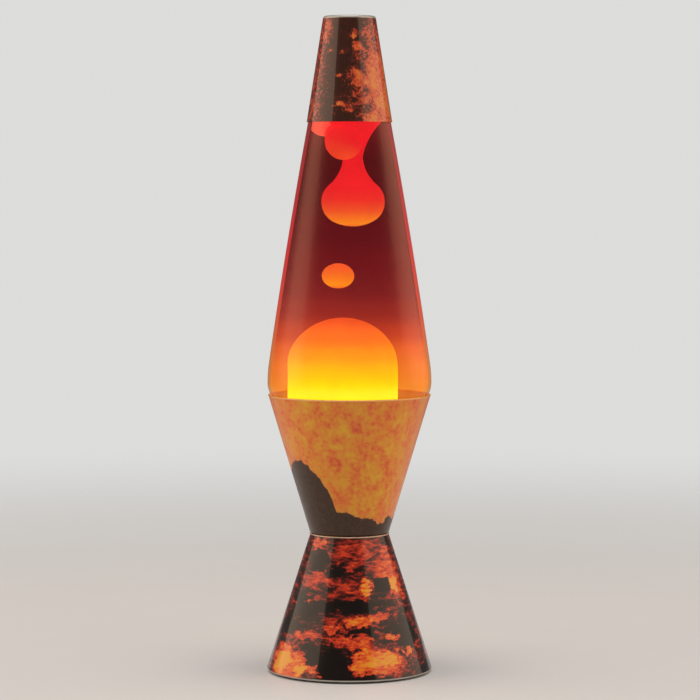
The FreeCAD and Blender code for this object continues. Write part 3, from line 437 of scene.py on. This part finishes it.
# ---------------------------------------------------------------- glass, liquid and wax
def glass_face(name, filter_at, gloss):
    """One face of the globe's wall. It tints what shows through, by height.

    The outer face is glossy and reflects more at a grazing angle. The inner face adds a painted glow: the
    light that the liquid scatters from the wax, as emission.
    """
    sh = Shader(name)
    stops = [(height, filter_at(height)) for height, colour in BODY_LOOK]
    tint, peak = sh.by_height(stops, "EASE")
    waviness = sh.grain(26, up=0.35, detail=2, seed=14)
    normal = sh.bump(waviness, 0.25, 0.25)
    clear = sh.node("ShaderNodeBsdfTransparent", {"Color": tint}).outputs[0]
    if not gloss:
        # Painted glow: the liquid's scattered light from the wax, given as emission on the inner face
        glow, strength = sh.by_height(PAINTED_SCATTER_GLOW, "EASE")
        haze = sh.node("ShaderNodeEmission", {"Color": glow, "Strength": strength}).outputs[0]
        return sh.done(sh.node("ShaderNodeAddShader", {0: clear, 1: haze}).outputs[0])
    polish = {"Color": (1, 1, 1, 1), "Roughness": 0.33, "Normal": normal}
    shine = sh.node("ShaderNodeBsdfGlossy", polish).outputs[0]
    return sh.done(sh.node("ShaderNodeMixShader", {0: sh.sheen(normal), 1: clear, 2: shine}).outputs[0])


def liquid_look():
    """Clear liquid with a faint tint that drifts; the glass round it has all the shine."""
    sh = Shader("liquid")
    drift = sh.grain(30, up=0.6, detail=2, distortion=0.8, seed=21)
    tint = sh.mix(sh.spread(drift, 0.35, 0.65), (0.93, 0.90, 0.92), (1.0, 0.99, 0.99))
    return sh.done(sh.node("ShaderNodeBsdfTransparent", {"Color": tint}).outputs[0])


def wax_painted_glow(name, stops, lobes=()):
    """Wax whose lighting from the bulb below is painted as emission. stops are (height, colour as seen
    through the globe).

    Each lobe is (middle, radius, stops): inside that ball the wax takes the lobe's own painted lighting,
    which fades to the column's painted lighting on the side of the ball that runs into the column.
    """
    sh = Shader(name)
    towards_column = (0.8, 0, 0.6)

    def glow(colours):
        """The light to give, by height, and its strength."""
        needed = [(height, behind_glass(tone(*colour), height)) for height, colour in colours]
        return sh.by_height(needed)

    tables = [glow(stops)] + [glow(lobe[2]) for lobe in lobes]
    peak = max(strength for colour, strength in tables)
    colour = sh.mix(1.0, tables[0][0], (tables[0][1] / peak,) * 3, "MULTIPLY")
    for lobe, (lobe_painted_glow, strength) in zip(lobes, tables[1:]):
        middle, radius = lobe[:2]
        offset = sh.node("ShaderNodeVectorMath", {0: sh.place, 1: middle}, operation="SUBTRACT").outputs[0]
        distance = sh.node("ShaderNodeVectorMath", {0: offset}, operation="LENGTH").outputs["Value"]
        ball = sh.spread(distance, radius * 0.985, radius * 1.03, 1, 0, smooth=True)
        to_column = sh.node("ShaderNodeVectorMath", {0: offset, 1: towards_column}, operation="DOT_PRODUCT")
        own = sh.spread(to_column.outputs["Value"], -0.15 * radius, 0.75 * radius, 1, 0, smooth=True)
        share = sh.math("MULTIPLY", ball, own)
        colour = sh.mix(share, colour, sh.mix(1.0, lobe_painted_glow, (strength / peak,) * 3, "MULTIPLY"))
    cloud = sh.spread(sh.grain(14, detail=3, distortion=0.6, seed=17), 0.3, 0.7, 0.94, 1.04)
    colour = sh.mix(1.0, colour, cloud, "MULTIPLY")
    skin = sh.bump(sh.grain(7, detail=2, seed=19), 0.12, 0.3)
    return sh.done(sh.surface(
        Base_Color=(0.25, 0.03, 0.02), Roughness=0.42, Specular_IOR_Level=0.15,
        Emission_Color=colour, Emission_Strength=peak, Normal=skin))


# ---------------------------------------------------------------- plain parts' looks
def metal(name, colour, roughness, scratch_mm=1.2):
    """Bare metal with fine drawing marks and a dull bloom."""
    sh = Shader(name)
    marks = sh.grain(scratch_mm, up=6.0, detail=4, roughness=0.6, seed=23)
    bloom = sh.grain(5, detail=4, seed=25)
    dull = tuple(part * 0.72 for part in colour)
    shade = sh.mix(sh.spread(bloom, 0.35, 0.7), colour, dull)
    rough = sh.spread(marks, 0.3, 0.7, roughness * 0.8, roughness * 1.3)
    relief = sh.bump(marks, 0.02, 0.4)
    return sh.done(sh.surface(Base_Color=shade, Metallic=1.0, Roughness=rough, Normal=relief))


def painted_light_edge(name, colour):
    """A lacquered edge whose colour is painted light along it, patchy at random, with tiny pits."""
    sh = Shader(name)
    rubs = sh.spread(sh.grain(2.5, detail=4, roughness=0.6, seed=43), 0.35, 0.65, 0.82, 1.0)
    shade = sh.mix(1.0, colour, rubs, "MULTIPLY")
    relief = sh.bump(rubs, 0.02, 0.4)
    return sh.done(sh.surface(Base_Color=shade, Metallic=0.35, Roughness=0.32, Normal=relief))


def moulded(name, colour, roughness, grain_mm=0.5, depth_mm=0.03):
    """Moulded plastic or rubber with a fine skin grain and a little dust."""
    sh = Shader(name)
    skin = sh.grain(grain_mm, detail=3, seed=27)
    dust = sh.grain(7, detail=5, roughness=0.65, seed=29)
    dusty = tuple(min(1.0, part * 1.5 + 0.012) for part in colour)
    shade = sh.mix(sh.spread(dust, 0.45, 0.75), colour, dusty)
    rough = sh.spread(dust, 0.3, 0.7, roughness, roughness * 1.15)
    return sh.done(sh.surface(Base_Color=shade, Roughness=rough, Normal=sh.bump(skin, depth_mm, 0.5)))


def clear_glass(name):
    """Thin clear glass that bends nothing: transparent, with a sheen and faint greyer clouds."""
    sh = Shader(name)
    tint = sh.mix(sh.spread(sh.grain(9, seed=33), 0.35, 0.7), (0.96, 0.97, 0.97), (0.90, 0.90, 0.89))
    clear = sh.node("ShaderNodeBsdfTransparent", {"Color": tint}).outputs[0]
    shine = sh.node("ShaderNodeBsdfGlossy", {"Color": (1, 1, 1, 1), "Roughness": 0.03}).outputs[0]
    return sh.done(sh.node("ShaderNodeMixShader", {0: sh.sheen(), 1: clear, 2: shine}).outputs[0])


def glowing_wire(name):
    """Tungsten at white heat, a little cooler towards its ends."""
    sh = Shader(name)
    away = sh.math("ABSOLUTE", sh.parts(sh.place)["X"])
    colour = sh.ramp(sh.spread(away, 0, 8 * MM), [
        (0.0, (1.0, 0.72, 0.36)),
        (0.75, (1.0, 0.6, 0.25)),
        (1.0, (0.7, 0.2, 0.05)),
    ])
    return sh.done(sh.surface(
        Base_Color=(0.1, 0.1, 0.1), Roughness=0.5, Emission_Color=colour, Emission_Strength=12))


# ---------------------------------------------------------------- shapes
SHARP_ANGLE = math.radians(35)
LATHE_STEPS = 192
RIM_STEPS = 180

# The wax's skin swells and shrinks by up to SWELL in waves, and stays WAX_GAP inside the glass
SWELL = 0.35 * MM
SWELL_WAVES_PER_METRE = 70
WAX_GAP = 0.4 * MM


def wall_inside(node, heights):
    """The smallest radius of a CAD node's section at each of the heights."""
    mesh = nodes[node].data
    points = np.array([vertex.co for vertex in mesh.vertices])
    ends = points[np.array([edge.vertices[:] for edge in mesh.edges])]
    radii = []
    for height in heights:
        crossing = (ends[:, 0, 2] - height) * (ends[:, 1, 2] - height) < 0
        low, high = ends[crossing, 0], ends[crossing, 1]
        share = (height - low[:, 2]) / (high[:, 2] - low[:, 2])
        cut = low + (high - low) * share[:, None]
        radii.append(float(np.hypot(cut[:, 0], cut[:, 1]).min()))
    return np.array(radii)


def piece(name, mesh, material, body, replaced=()):
    """A new object with one material that rides on a CAD body and stands for CAD nodes."""
    made = bpy.data.objects.new(name, mesh)
    scene.collection.objects.link(made)
    mesh.materials.clear()
    mesh.materials.append(material)
    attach(made, body)
    if replaced:
        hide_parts(*replaced)
    return made


def smooth(mesh):
    """Smooth shading, with a hard edge where two faces meet at more than SHARP_ANGLE."""
    work = bmesh.new()
    work.from_mesh(mesh)
    for face in work.faces:
        face.smooth = True
    for edge in work.edges:
        edge.smooth = len(edge.link_faces) == 2 and edge.calc_face_angle() < SHARP_ANGLE
    work.to_mesh(mesh)
    work.free()
    return mesh


def lathe(name, profile):
    """A closed mesh turned about Z from (radius, height) points that start and end on the axis."""
    work = bmesh.new()
    rings = []
    for radius, height in profile:
        if radius < 1e-6:
            rings.append([work.verts.new((0, 0, height))])
            continue
        turn = [2 * math.pi * step / LATHE_STEPS for step in range(LATHE_STEPS)]
        rings.append([work.verts.new((radius * math.cos(a), radius * math.sin(a), height)) for a in turn])
    for low, high in zip(rings, rings[1:]):
        for step in range(LATHE_STEPS):
            following = (step + 1) % LATHE_STEPS
            corners = [low[step % len(low)], low[following % len(low)],
                       high[following % len(high)], high[step % len(high)]]
            work.faces.new(list(dict.fromkeys(corners)))
    bmesh.ops.recalc_face_normals(work, faces=work.faces)
    mesh = bpy.data.meshes.new(name)
    work.to_mesh(mesh)
    work.free()
    return smooth(mesh)


def flowing(name, node, voxel_mm, passes):
    """A soft skin over a CAD wax solid, kept clear of the globe's inner wall."""
    source = bpy.data.objects.new(name + "_source", nodes[node].data.copy())
    scene.collection.objects.link(source)
    remesh = source.modifiers.new("skin", "REMESH")
    remesh.mode = "VOXEL"
    remesh.voxel_size = voxel_mm * MM
    soften = source.modifiers.new("soften", "SMOOTH")
    soften.factor = 0.5
    soften.iterations = passes
    evaluated = source.evaluated_get(bpy.context.evaluated_depsgraph_get())
    mesh = bpy.data.meshes.new_from_object(evaluated)
    bpy.data.objects.remove(source)
    mesh.name = name
    points = np.array([vertex.co for vertex in mesh.vertices])
    normals = np.array([normal.vector for normal in mesh.vertex_normals])
    waves = [noise.noise(point * SWELL_WAVES_PER_METRE) for point in map(Vector, points)]
    points += normals * (np.array(waves) * SWELL)[:, None]
    away = np.hypot(points[:, 0], points[:, 1])
    wall = np.interp(points[:, 2], WALL_HEIGHTS, WALL_RADII) - WAX_GAP
    points[:, :2] *= np.minimum(1, wall / np.maximum(away, 1e-9))[:, None]
    mesh.vertices.foreach_set("co", points.ravel())
    for polygon in mesh.polygons:
        polygon.use_smooth = True
    return mesh


def wire(name, points, radius, closed=False):
    """A round wire along points, as a mesh."""
    curve = bpy.data.curves.new(name, "CURVE")
    curve.dimensions = "3D"
    curve.bevel_depth = radius
    curve.bevel_resolution = 3
    curve.use_fill_caps = True
    spline = curve.splines.new("POLY")
    spline.points.add(len(points) - 1)
    for point, place in zip(spline.points, points):
        point.co = (*place, 1)
    spline.use_cyclic_u = closed
    holder = bpy.data.objects.new(name, curve)
    mesh = bpy.data.meshes.new_from_object(holder)
    bpy.data.objects.remove(holder)
    for polygon in mesh.polygons:
        polygon.use_smooth = True
    return mesh


def rim(name, radius, height, thickness, colour):
    """A thin rolled ring round the lamp's axis."""
    turn = [2 * math.pi * step / RIM_STEPS for step in range(RIM_STEPS)]
    ring = [(radius * math.cos(a), radius * math.sin(a), height) for a in turn]
    mesh = wire(name, ring, thickness / 2, closed=True)
    piece(name, mesh, painted_light_edge(name, colour), "base")


# ---------------------------------------------------------------- build
# The globe's inner wall, from just above its floor up to the foot of its neck
ABOVE_FLOOR, NECK_LENGTH, WALL_STEPS = 4 * MM, 13 * MM, 240
glass_low, glass_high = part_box("globe_glass")
WALL_HEIGHTS = np.linspace(glass_low.z + ABOVE_FLOOR, glass_high.z - NECK_LENGTH, WALL_STEPS)
WALL_RADII = wall_inside("globe_glass", WALL_HEIGHTS)

for node, material in (
    ("foot_cone", foot_print()),
    ("cup_cone", cup_print()),
    ("cap_cone", cap_print()),
    ("socket_bracket", metal("zinc_plate", (0.66, 0.66, 0.64), 0.32)),
    ("socket_screw", metal("screw_zinc", (0.60, 0.60, 0.58), 0.30, 0.6)),
    ("socket_body", moulded("phenolic_brown", (0.035, 0.02, 0.014), 0.35)),
    ("socket_shell", metal("brass_sleeve", (0.80, 0.58, 0.27), 0.24)),
    ("socket_contact", metal("brass_strip", (0.78, 0.56, 0.26), 0.26)),
    ("socket_terminals", metal("brass_screw", (0.76, 0.55, 0.26), 0.28, 0.5)),
    ("bottom_plate", moulded("bottom_moulding", (0.022, 0.021, 0.021), 0.55)),
    ("rubber_feet", moulded("rubber", (0.03, 0.03, 0.03), 0.8, 0.35, 0.05)),
    ("cord_bushing", moulded("bushing_plastic", (0.02, 0.02, 0.02), 0.42)),
    ("bulb_glass", clear_glass("bulb_clear")),
    ("bulb_stem", clear_glass("stem_glass")),
    ("bulb_screw_shell", metal("nickel_shell", (0.70, 0.66, 0.56), 0.25)),
    ("bulb_insulator", moulded("vitrite", (0.015, 0.015, 0.02), 0.12, 2.0, 0.01)),
    ("bulb_contact", metal("solder", (0.55, 0.55, 0.54), 0.45)),
    ("crown_closure", metal("tin_plate", (0.68, 0.67, 0.64), 0.28)),
    ("crown_liner", moulded("liner", (0.62, 0.60, 0.54), 0.7)),
):
    nodes[node].material_slots[0].material = material

# Globe: a copy of the CAD glass whose outer and inner faces have looks of their own. Its inner floor faces
# up and lies within FLOOR_DEPTH of its bottom.
FLOOR_DEPTH = 5 * MM
globe_mesh = nodes["globe_glass"].data.copy()
globe = piece("globe", globe_mesh, glass_face("globe_outer_face", outer_filter, gloss=True),
              "globe", ["globe_glass"])
globe_mesh.materials.append(glass_face("globe_inner_face", inner_filter, gloss=False))
for polygon in globe_mesh.polygons:
    outward = polygon.normal.x * polygon.center.x + polygon.normal.y * polygon.center.y
    inside_floor = polygon.normal.z > 0.5 and polygon.center.z < glass_low.z + FLOOR_DEPTH
    polygon.material_index = 1 if outward < 0 or inside_floor else 0
globe.visible_shadow = False

# Rims: the cup's rolled top edge, and the seam where the cup stands on the foot. Their pale colours are
# painted light: the globe's orange glow on the cup's rim, and a painted highlight along the seam.
CUP_RIM_INSET, CUP_RIM_DROP, CUP_RIM_THICK = 0.35 * MM, 0.2 * MM, 0.9 * MM
SEAM_RADIUS, SEAM_HEIGHT, SEAM_THICK = 22.0 * MM, 78.1 * MM, 0.8 * MM
cup_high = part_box("cup_cone")[1]
rim_radius, rim_height = cup_high.x - CUP_RIM_INSET, cup_high.z - CUP_RIM_DROP
rim("cup_rolled_rim", rim_radius, rim_height, CUP_RIM_THICK, (0.92, 0.46, 0.17))
rim("foot_top_rim", SEAM_RADIUS, SEAM_HEIGHT, SEAM_THICK, (0.70, 0.48, 0.33))

# Liquid: fills the globe to its level, a hair inside the glass, with a heel at its floor
LIQUID_GAP, LIQUID_FLOOR_GAP = 0.15 * MM, 0.2 * MM
HEEL_ACROSS, HEEL_UP = 2 * MM, 1 * MM
LIQUID_STEPS = 90
liquid_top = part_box("wax_upper")[1].z
liquid_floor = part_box("clear_fluid")[0].z + LIQUID_FLOOR_GAP
steps = np.linspace(liquid_floor + HEEL_UP, liquid_top, LIQUID_STEPS)
sides = [(float(np.interp(z, WALL_HEIGHTS, WALL_RADII)) - LIQUID_GAP, float(z)) for z in steps]
liquid_profile = [(0, liquid_floor), (sides[0][0] - HEEL_ACROSS, liquid_floor), *sides, (0, liquid_top)]
liquid_mesh = lathe("liquid", liquid_profile)
liquid = piece("liquid", liquid_mesh, liquid_look(), "globe", ["clear_fluid"])
liquid.visible_shadow = False

# The bulb's light, which warms the inside of the cup
BULB_LIGHT_RADIUS = 6 * MM
bulb_light = bpy.data.lights.new("bulb_light", "POINT")
bulb_light.energy = 0.05
bulb_light.color = (1.0, 0.62, 0.28)
bulb_light.shadow_soft_size = BULB_LIGHT_RADIUS
bulb_lamp = bpy.data.objects.new("bulb_light", bulb_light)
filament_low, filament_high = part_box("bulb_filament")
bulb_lamp.location = (0, 0, (filament_low.z + filament_high.z) / 2)
bulb_lamp.visible_camera = False
scene.collection.objects.link(bulb_lamp)
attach(bulb_lamp, "bulb")

# Wax: the display colour that each part shows through the globe, by height in mm. These are painted light,
# given as emission: the wax's lighting from the bulb below, brighter and yellower at the bottom of each part.
MOUND_LOOK = [
    (120, (255, 252, 10)), (155, (255, 250, 0)), (160, (255, 240, 1)), (166, (251, 215, 0)),
    (171, (254, 194, 12)), (177, (252, 170, 24)), (182.5, (248, 150, 27)), (188, (246, 128, 32)),
    (194, (245, 109, 35)), (200, (242, 87, 33)),
]
COLUMN_LOOK = [
    (250.5, (238, 78, 38)), (252.5, (249, 140, 30)), (255, (246, 122, 31)), (260, (241, 82, 36)),
    (266, (240, 48, 37)), (272, (238, 33, 36)), (290, (237, 28, 36)), (310, (238, 30, 36)),
    (330, (236, 30, 36)),
]
DROP_LOOK = [
    (205, (250, 140, 28)), (216.6, (240, 110, 34)), (218.5, (249, 146, 22)), (223, (247, 122, 30)),
    (229, (243, 92, 38)), (248, (243, 92, 38)),
]
FRONT_LOBE_LOOK = [(286, (239, 82, 36)), (293, (239, 64, 36)), (300, (238, 42, 36)), (309, (238, 30, 36))]
SIDE_LOBE_LOOK = [(300, (243, 96, 66)), (306, (242, 88, 68)), (320, (240, 66, 60))]
front_lobe = ((-3.2 * MM, -8.0 * MM, 298.7 * MM), 10.6 * MM, FRONT_LOBE_LOOK)
side_lobe = ((-13.8 * MM, 0, 311.4 * MM), 10.2 * MM, SIDE_LOBE_LOOK)
mound = piece("wax_mound_flow", flowing("wax_mound_flow", "wax_mound", 0.8, 12),
              wax_painted_glow("wax_mound_glow", MOUND_LOOK), "globe", ["wax_mound"])
mound.visible_shadow = False
piece("wax_upper_flow", flowing("wax_upper_flow", "wax_upper", 0.6, 5),
      wax_painted_glow("wax_upper_glow", COLUMN_LOOK, [side_lobe, front_lobe]), "globe", ["wax_upper"])
piece("wax_drop_flow", flowing("wax_drop_flow", "wax_drop", 0.4, 3), wax_painted_glow("wax_drop_glow", DROP_LOOK),
      "free_drop", ["wax_drop"])


# ---------------------------------------------------------------- wires
LEAD_WIRE = 0.3 * MM
LEAD_HALF_GAP = 1.5 * MM
LEAD_STRAIGHT = 2 * MM
FILAMENT_COIL = 0.2 * MM
FILAMENT_WIRE = 0.06 * MM
COIL_WIRE = 0.55 * MM
coil_low, coil_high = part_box("wax_coil")
leads_low, leads_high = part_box("bulb_leads")


def helix(middle_at, turns, steps):
    """Points that wind round a path; middle_at(share) gives its point there and the coil's two radii."""
    points = []
    for step in range(turns * steps + 1):
        centre, first, second = middle_at(step / (turns * steps))
        angle = 2 * math.pi * step / steps
        points.append(centre + first * math.cos(angle) + second * math.sin(angle))
    return points


def filament_path(share):
    """A point of the filament's arc between the leads, with the coil's two radii there."""
    half_span = filament_high.x - LEAD_WIRE
    rise = filament_high.z - filament_low.z - FILAMENT_COIL * 2
    radius = (half_span ** 2 + rise ** 2) / (2 * rise)
    angle = (share - 0.5) * 2 * math.asin(half_span / radius)
    out = Vector((math.sin(angle), 0, math.cos(angle)))
    top = filament_high.z - FILAMENT_COIL
    return Vector((0, 0, top - radius)) + out * radius, out * FILAMENT_COIL, Vector((0, FILAMENT_COIL, 0))


def coil_path(share):
    """A point of the ring that the heat-spreading coil is wound on, with the coil's two radii there."""
    half_height = (coil_high.z - coil_low.z) / 2
    coil = half_height - COIL_WIRE
    angle = 2 * math.pi * share
    out = Vector((math.cos(angle), math.sin(angle), 0))
    centre = out * (coil_high.x - half_height) + Vector((0, 0, coil_low.z + half_height))
    return centre, out * coil, Vector((0, 0, coil))


filament_mesh = wire("filament", helix(filament_path, turns=40, steps=10), FILAMENT_WIRE)
piece("filament", filament_mesh, glowing_wire("tungsten_hot"), "bulb", ["bulb_filament"])
coil_mesh = wire("wire_coil", helix(coil_path, turns=30, steps=16), COIL_WIRE)
coil_steel = metal("coil_steel", (0.6, 0.6, 0.58), 0.3, 0.5)
piece("wire_coil", coil_mesh, coil_steel, "globe", ["wax_coil"])

# The CAD's two leads are one node, so the left wire stands for both
for side, name, replaced in ((-1, "lead_left", ["bulb_leads"]), (1, "lead_right", ())):
    inner = LEAD_HALF_GAP * side
    outer = (leads_high.x - LEAD_WIRE) * side
    route = [(inner, 0, leads_low.z), (inner, 0, leads_low.z + LEAD_STRAIGHT), (outer, 0, leads_high.z)]
    lead_metal = metal(name, (0.60, 0.60, 0.56), 0.35, 0.4)
    piece(name, wire(name, route, LEAD_WIRE), lead_metal, "bulb", replaced)

# Moulded and stamped parts: small rounded edges, with their widths in mm
for node, width_mm in (
    ("socket_body", 0.5), ("socket_screw", 0.3), ("socket_terminals", 0.3), ("bottom_plate", 0.3),
    ("rubber_feet", 0.4), ("cord_bushing", 0.2), ("socket_bracket", 0.15),
):
    rounding = nodes[node].modifiers.new("rounded_edges", "BEVEL")
    rounding.width = width_mm * MM
    rounding.segments = 2
    rounding.limit_method = "ANGLE"
    rounding.angle_limit = math.radians(40)


# ---------------------------------------------------------------- studio
WARM_WHITE = (1.0, 0.77, 0.58)
AMBER_WHITE = (1.0, 0.82, 0.64)
EMBER = (1.0, 0.42, 0.25)
FLOOR_RADIUS = 1.5
FLOOR_FADE = (0.25, 1.35)
OVERHEAD_FORWARDS = 0.25
SOFTBOX_DISTANCE = 1.2

# Greys of the world outside the lamp: as gloss mirrors it, and as it lights everything else
GLOSS_GREY = 0.07
FILL_GREY = 0.38

CAMERA_PLACE = (0, -1.615, 0.280)
CAMERA_AIM = (0.0003, 0, 0.1815)
CAMERA_LENS_MM = 148


def fading_floor():
    """A pale floor that fades into the backdrop over the distances of FLOOR_FADE."""
    sh = Shader("pale_floor")
    away = sh.node("ShaderNodeVectorMath", {0: sh.place}, operation="LENGTH").outputs["Value"]
    share = sh.spread(away, *FLOOR_FADE, smooth=True)
    mottle = sh.spread(sh.grain(40, detail=4, seed=41), 0.3, 0.7, 0.985, 1.0)
    pale = sh.surface(Base_Color=sh.mix(1.0, (0.78, 0.77, 0.755), mottle, "MULTIPLY"), Roughness=0.5,
                      Specular_IOR_Level=0.3)
    clear = sh.node("ShaderNodeBsdfTransparent", {"Color": (1, 1, 1, 1)}).outputs[0]
    return sh.done(sh.node("ShaderNodeMixShader", {0: share, 1: pale, 2: clear}).outputs[0])


def add_floor():
    """A round floor under the lamp."""
    work = bmesh.new()
    bmesh.ops.create_circle(work, cap_ends=True, segments=96, radius=FLOOR_RADIUS)
    mesh = bpy.data.meshes.new("floor")
    work.to_mesh(mesh)
    work.free()
    mesh.materials.append(fading_floor())
    floor = bpy.data.objects.new("floor", mesh)
    scene.collection.objects.link(floor)


def softbox(name, azimuth, low, high, half_span, radiance, colour, receivers):
    """An upright soft light that faces the lamp's axis and lights only the receivers.

    Seen from the lamp it is at an angle, spans twice half_span in degrees, and reaches from low to high.
    """
    width = 2 * SOFTBOX_DISTANCE * math.tan(math.radians(half_span))
    tall = high - low
    light = bpy.data.lights.new(name, "AREA")
    light.shape = "RECTANGLE"
    light.size = width
    light.size_y = tall
    light.energy = radiance * math.pi * width * tall
    light.color = colour
    made = bpy.data.objects.new(name, light)
    turn = math.radians(azimuth)
    across, forwards = SOFTBOX_DISTANCE * math.sin(turn), SOFTBOX_DISTANCE * math.cos(turn)
    made.location = (across, -forwards, (low + high) / 2)
    made.rotation_euler = (math.pi / 2, 0, turn)
    made.visible_camera = False
    made.light_linking.receiver_collection = receivers
    scene.collection.objects.link(made)


def lit_group(name, objects):
    """A collection that softboxes can be told to light."""
    group = bpy.data.collections.new(name)
    for thing in objects:
        group.objects.link(thing)
    return group


def overhead(name, height, size, radiance):
    """A square soft light that faces straight down, a little in front of the lamp."""
    light = bpy.data.lights.new(name, "AREA")
    light.size = size
    light.energy = radiance * math.pi * size * size
    made = bpy.data.objects.new(name, light)
    made.location = (0, -OVERHEAD_FORWARDS, height)
    made.visible_camera = False
    scene.collection.objects.link(made)


def add_world():
    """The camera sees an even pale backdrop; gloss sees a dark studio; other light is soft and even."""
    world = bpy.data.worlds.new("studio")
    world.use_nodes = True
    tree = world.node_tree
    tree.nodes.clear()
    path = tree.nodes.new("ShaderNodeLightPath")
    out = tree.nodes.new("ShaderNodeOutputWorld")
    seen, gloss, fill = (tree.nodes.new("ShaderNodeBackground") for index in range(3))
    seen.inputs["Color"].default_value = (BACKDROP, BACKDROP, BACKDROP * 0.985, 1)
    gloss.inputs["Color"].default_value = (GLOSS_GREY, GLOSS_GREY, GLOSS_GREY, 1)
    fill.inputs["Color"].default_value = (FILL_GREY, FILL_GREY, FILL_GREY, 1)
    by_gloss = tree.nodes.new("ShaderNodeMixShader")
    by_camera = tree.nodes.new("ShaderNodeMixShader")
    tree.links.new(path.outputs["Is Glossy Ray"], by_gloss.inputs[0])
    tree.links.new(fill.outputs[0], by_gloss.inputs[1])
    tree.links.new(gloss.outputs[0], by_gloss.inputs[2])
    tree.links.new(path.outputs["Is Camera Ray"], by_camera.inputs[0])
    tree.links.new(by_gloss.outputs[0], by_camera.inputs[1])
    tree.links.new(seen.outputs[0], by_camera.inputs[2])
    tree.links.new(by_camera.outputs[0], out.inputs["Surface"])
    scene.world = world


def add_camera():
    """Level with the upper half of the lamp, and tilted slightly down to frame all of it."""
    camera = bpy.data.cameras.new("camera")
    camera.lens = CAMERA_LENS_MM
    camera.sensor_width = 36
    made = bpy.data.objects.new("camera", camera)
    made.location = CAMERA_PLACE
    aim = Vector(CAMERA_AIM) - made.location
    made.rotation_euler = aim.to_track_quat("-Z", "Y").to_euler()
    scene.collection.objects.link(made)
    scene.camera = made


add_floor()
add_world()
glass_group = lit_group("glass", [globe])
solids = [thing for thing in scene.objects if thing.type == "MESH" and thing != globe]
solid_group = lit_group("solid", solids)
cone_group = lit_group("cones", [nodes["foot_cone"], nodes["cup_cone"]])
softbox("softbox_left", -85, -0.1, 1.4, 37, 1.3, WARM_WHITE, solid_group)
softbox("softbox_right", 79, -0.1, 1.4, 41, 1.05, WARM_WHITE, solid_group)
softbox("strip_left", -94, 0.1, 1.4, 20, 3.3, EMBER, glass_group)
softbox("strip_right", 110, 0.1, 1.4, 22, 2.9, EMBER, glass_group)
softbox("edge_left", -161, 0.1, 1.5, 7, 3.0, AMBER_WHITE, cone_group)
softbox("edge_right", 161, 0.1, 1.5, 7, 3.0, AMBER_WHITE, cone_group)
overhead("softbox_top", 1.9, 1.5, 2.05)
add_camera()
scene.view_settings.view_transform = "Standard"
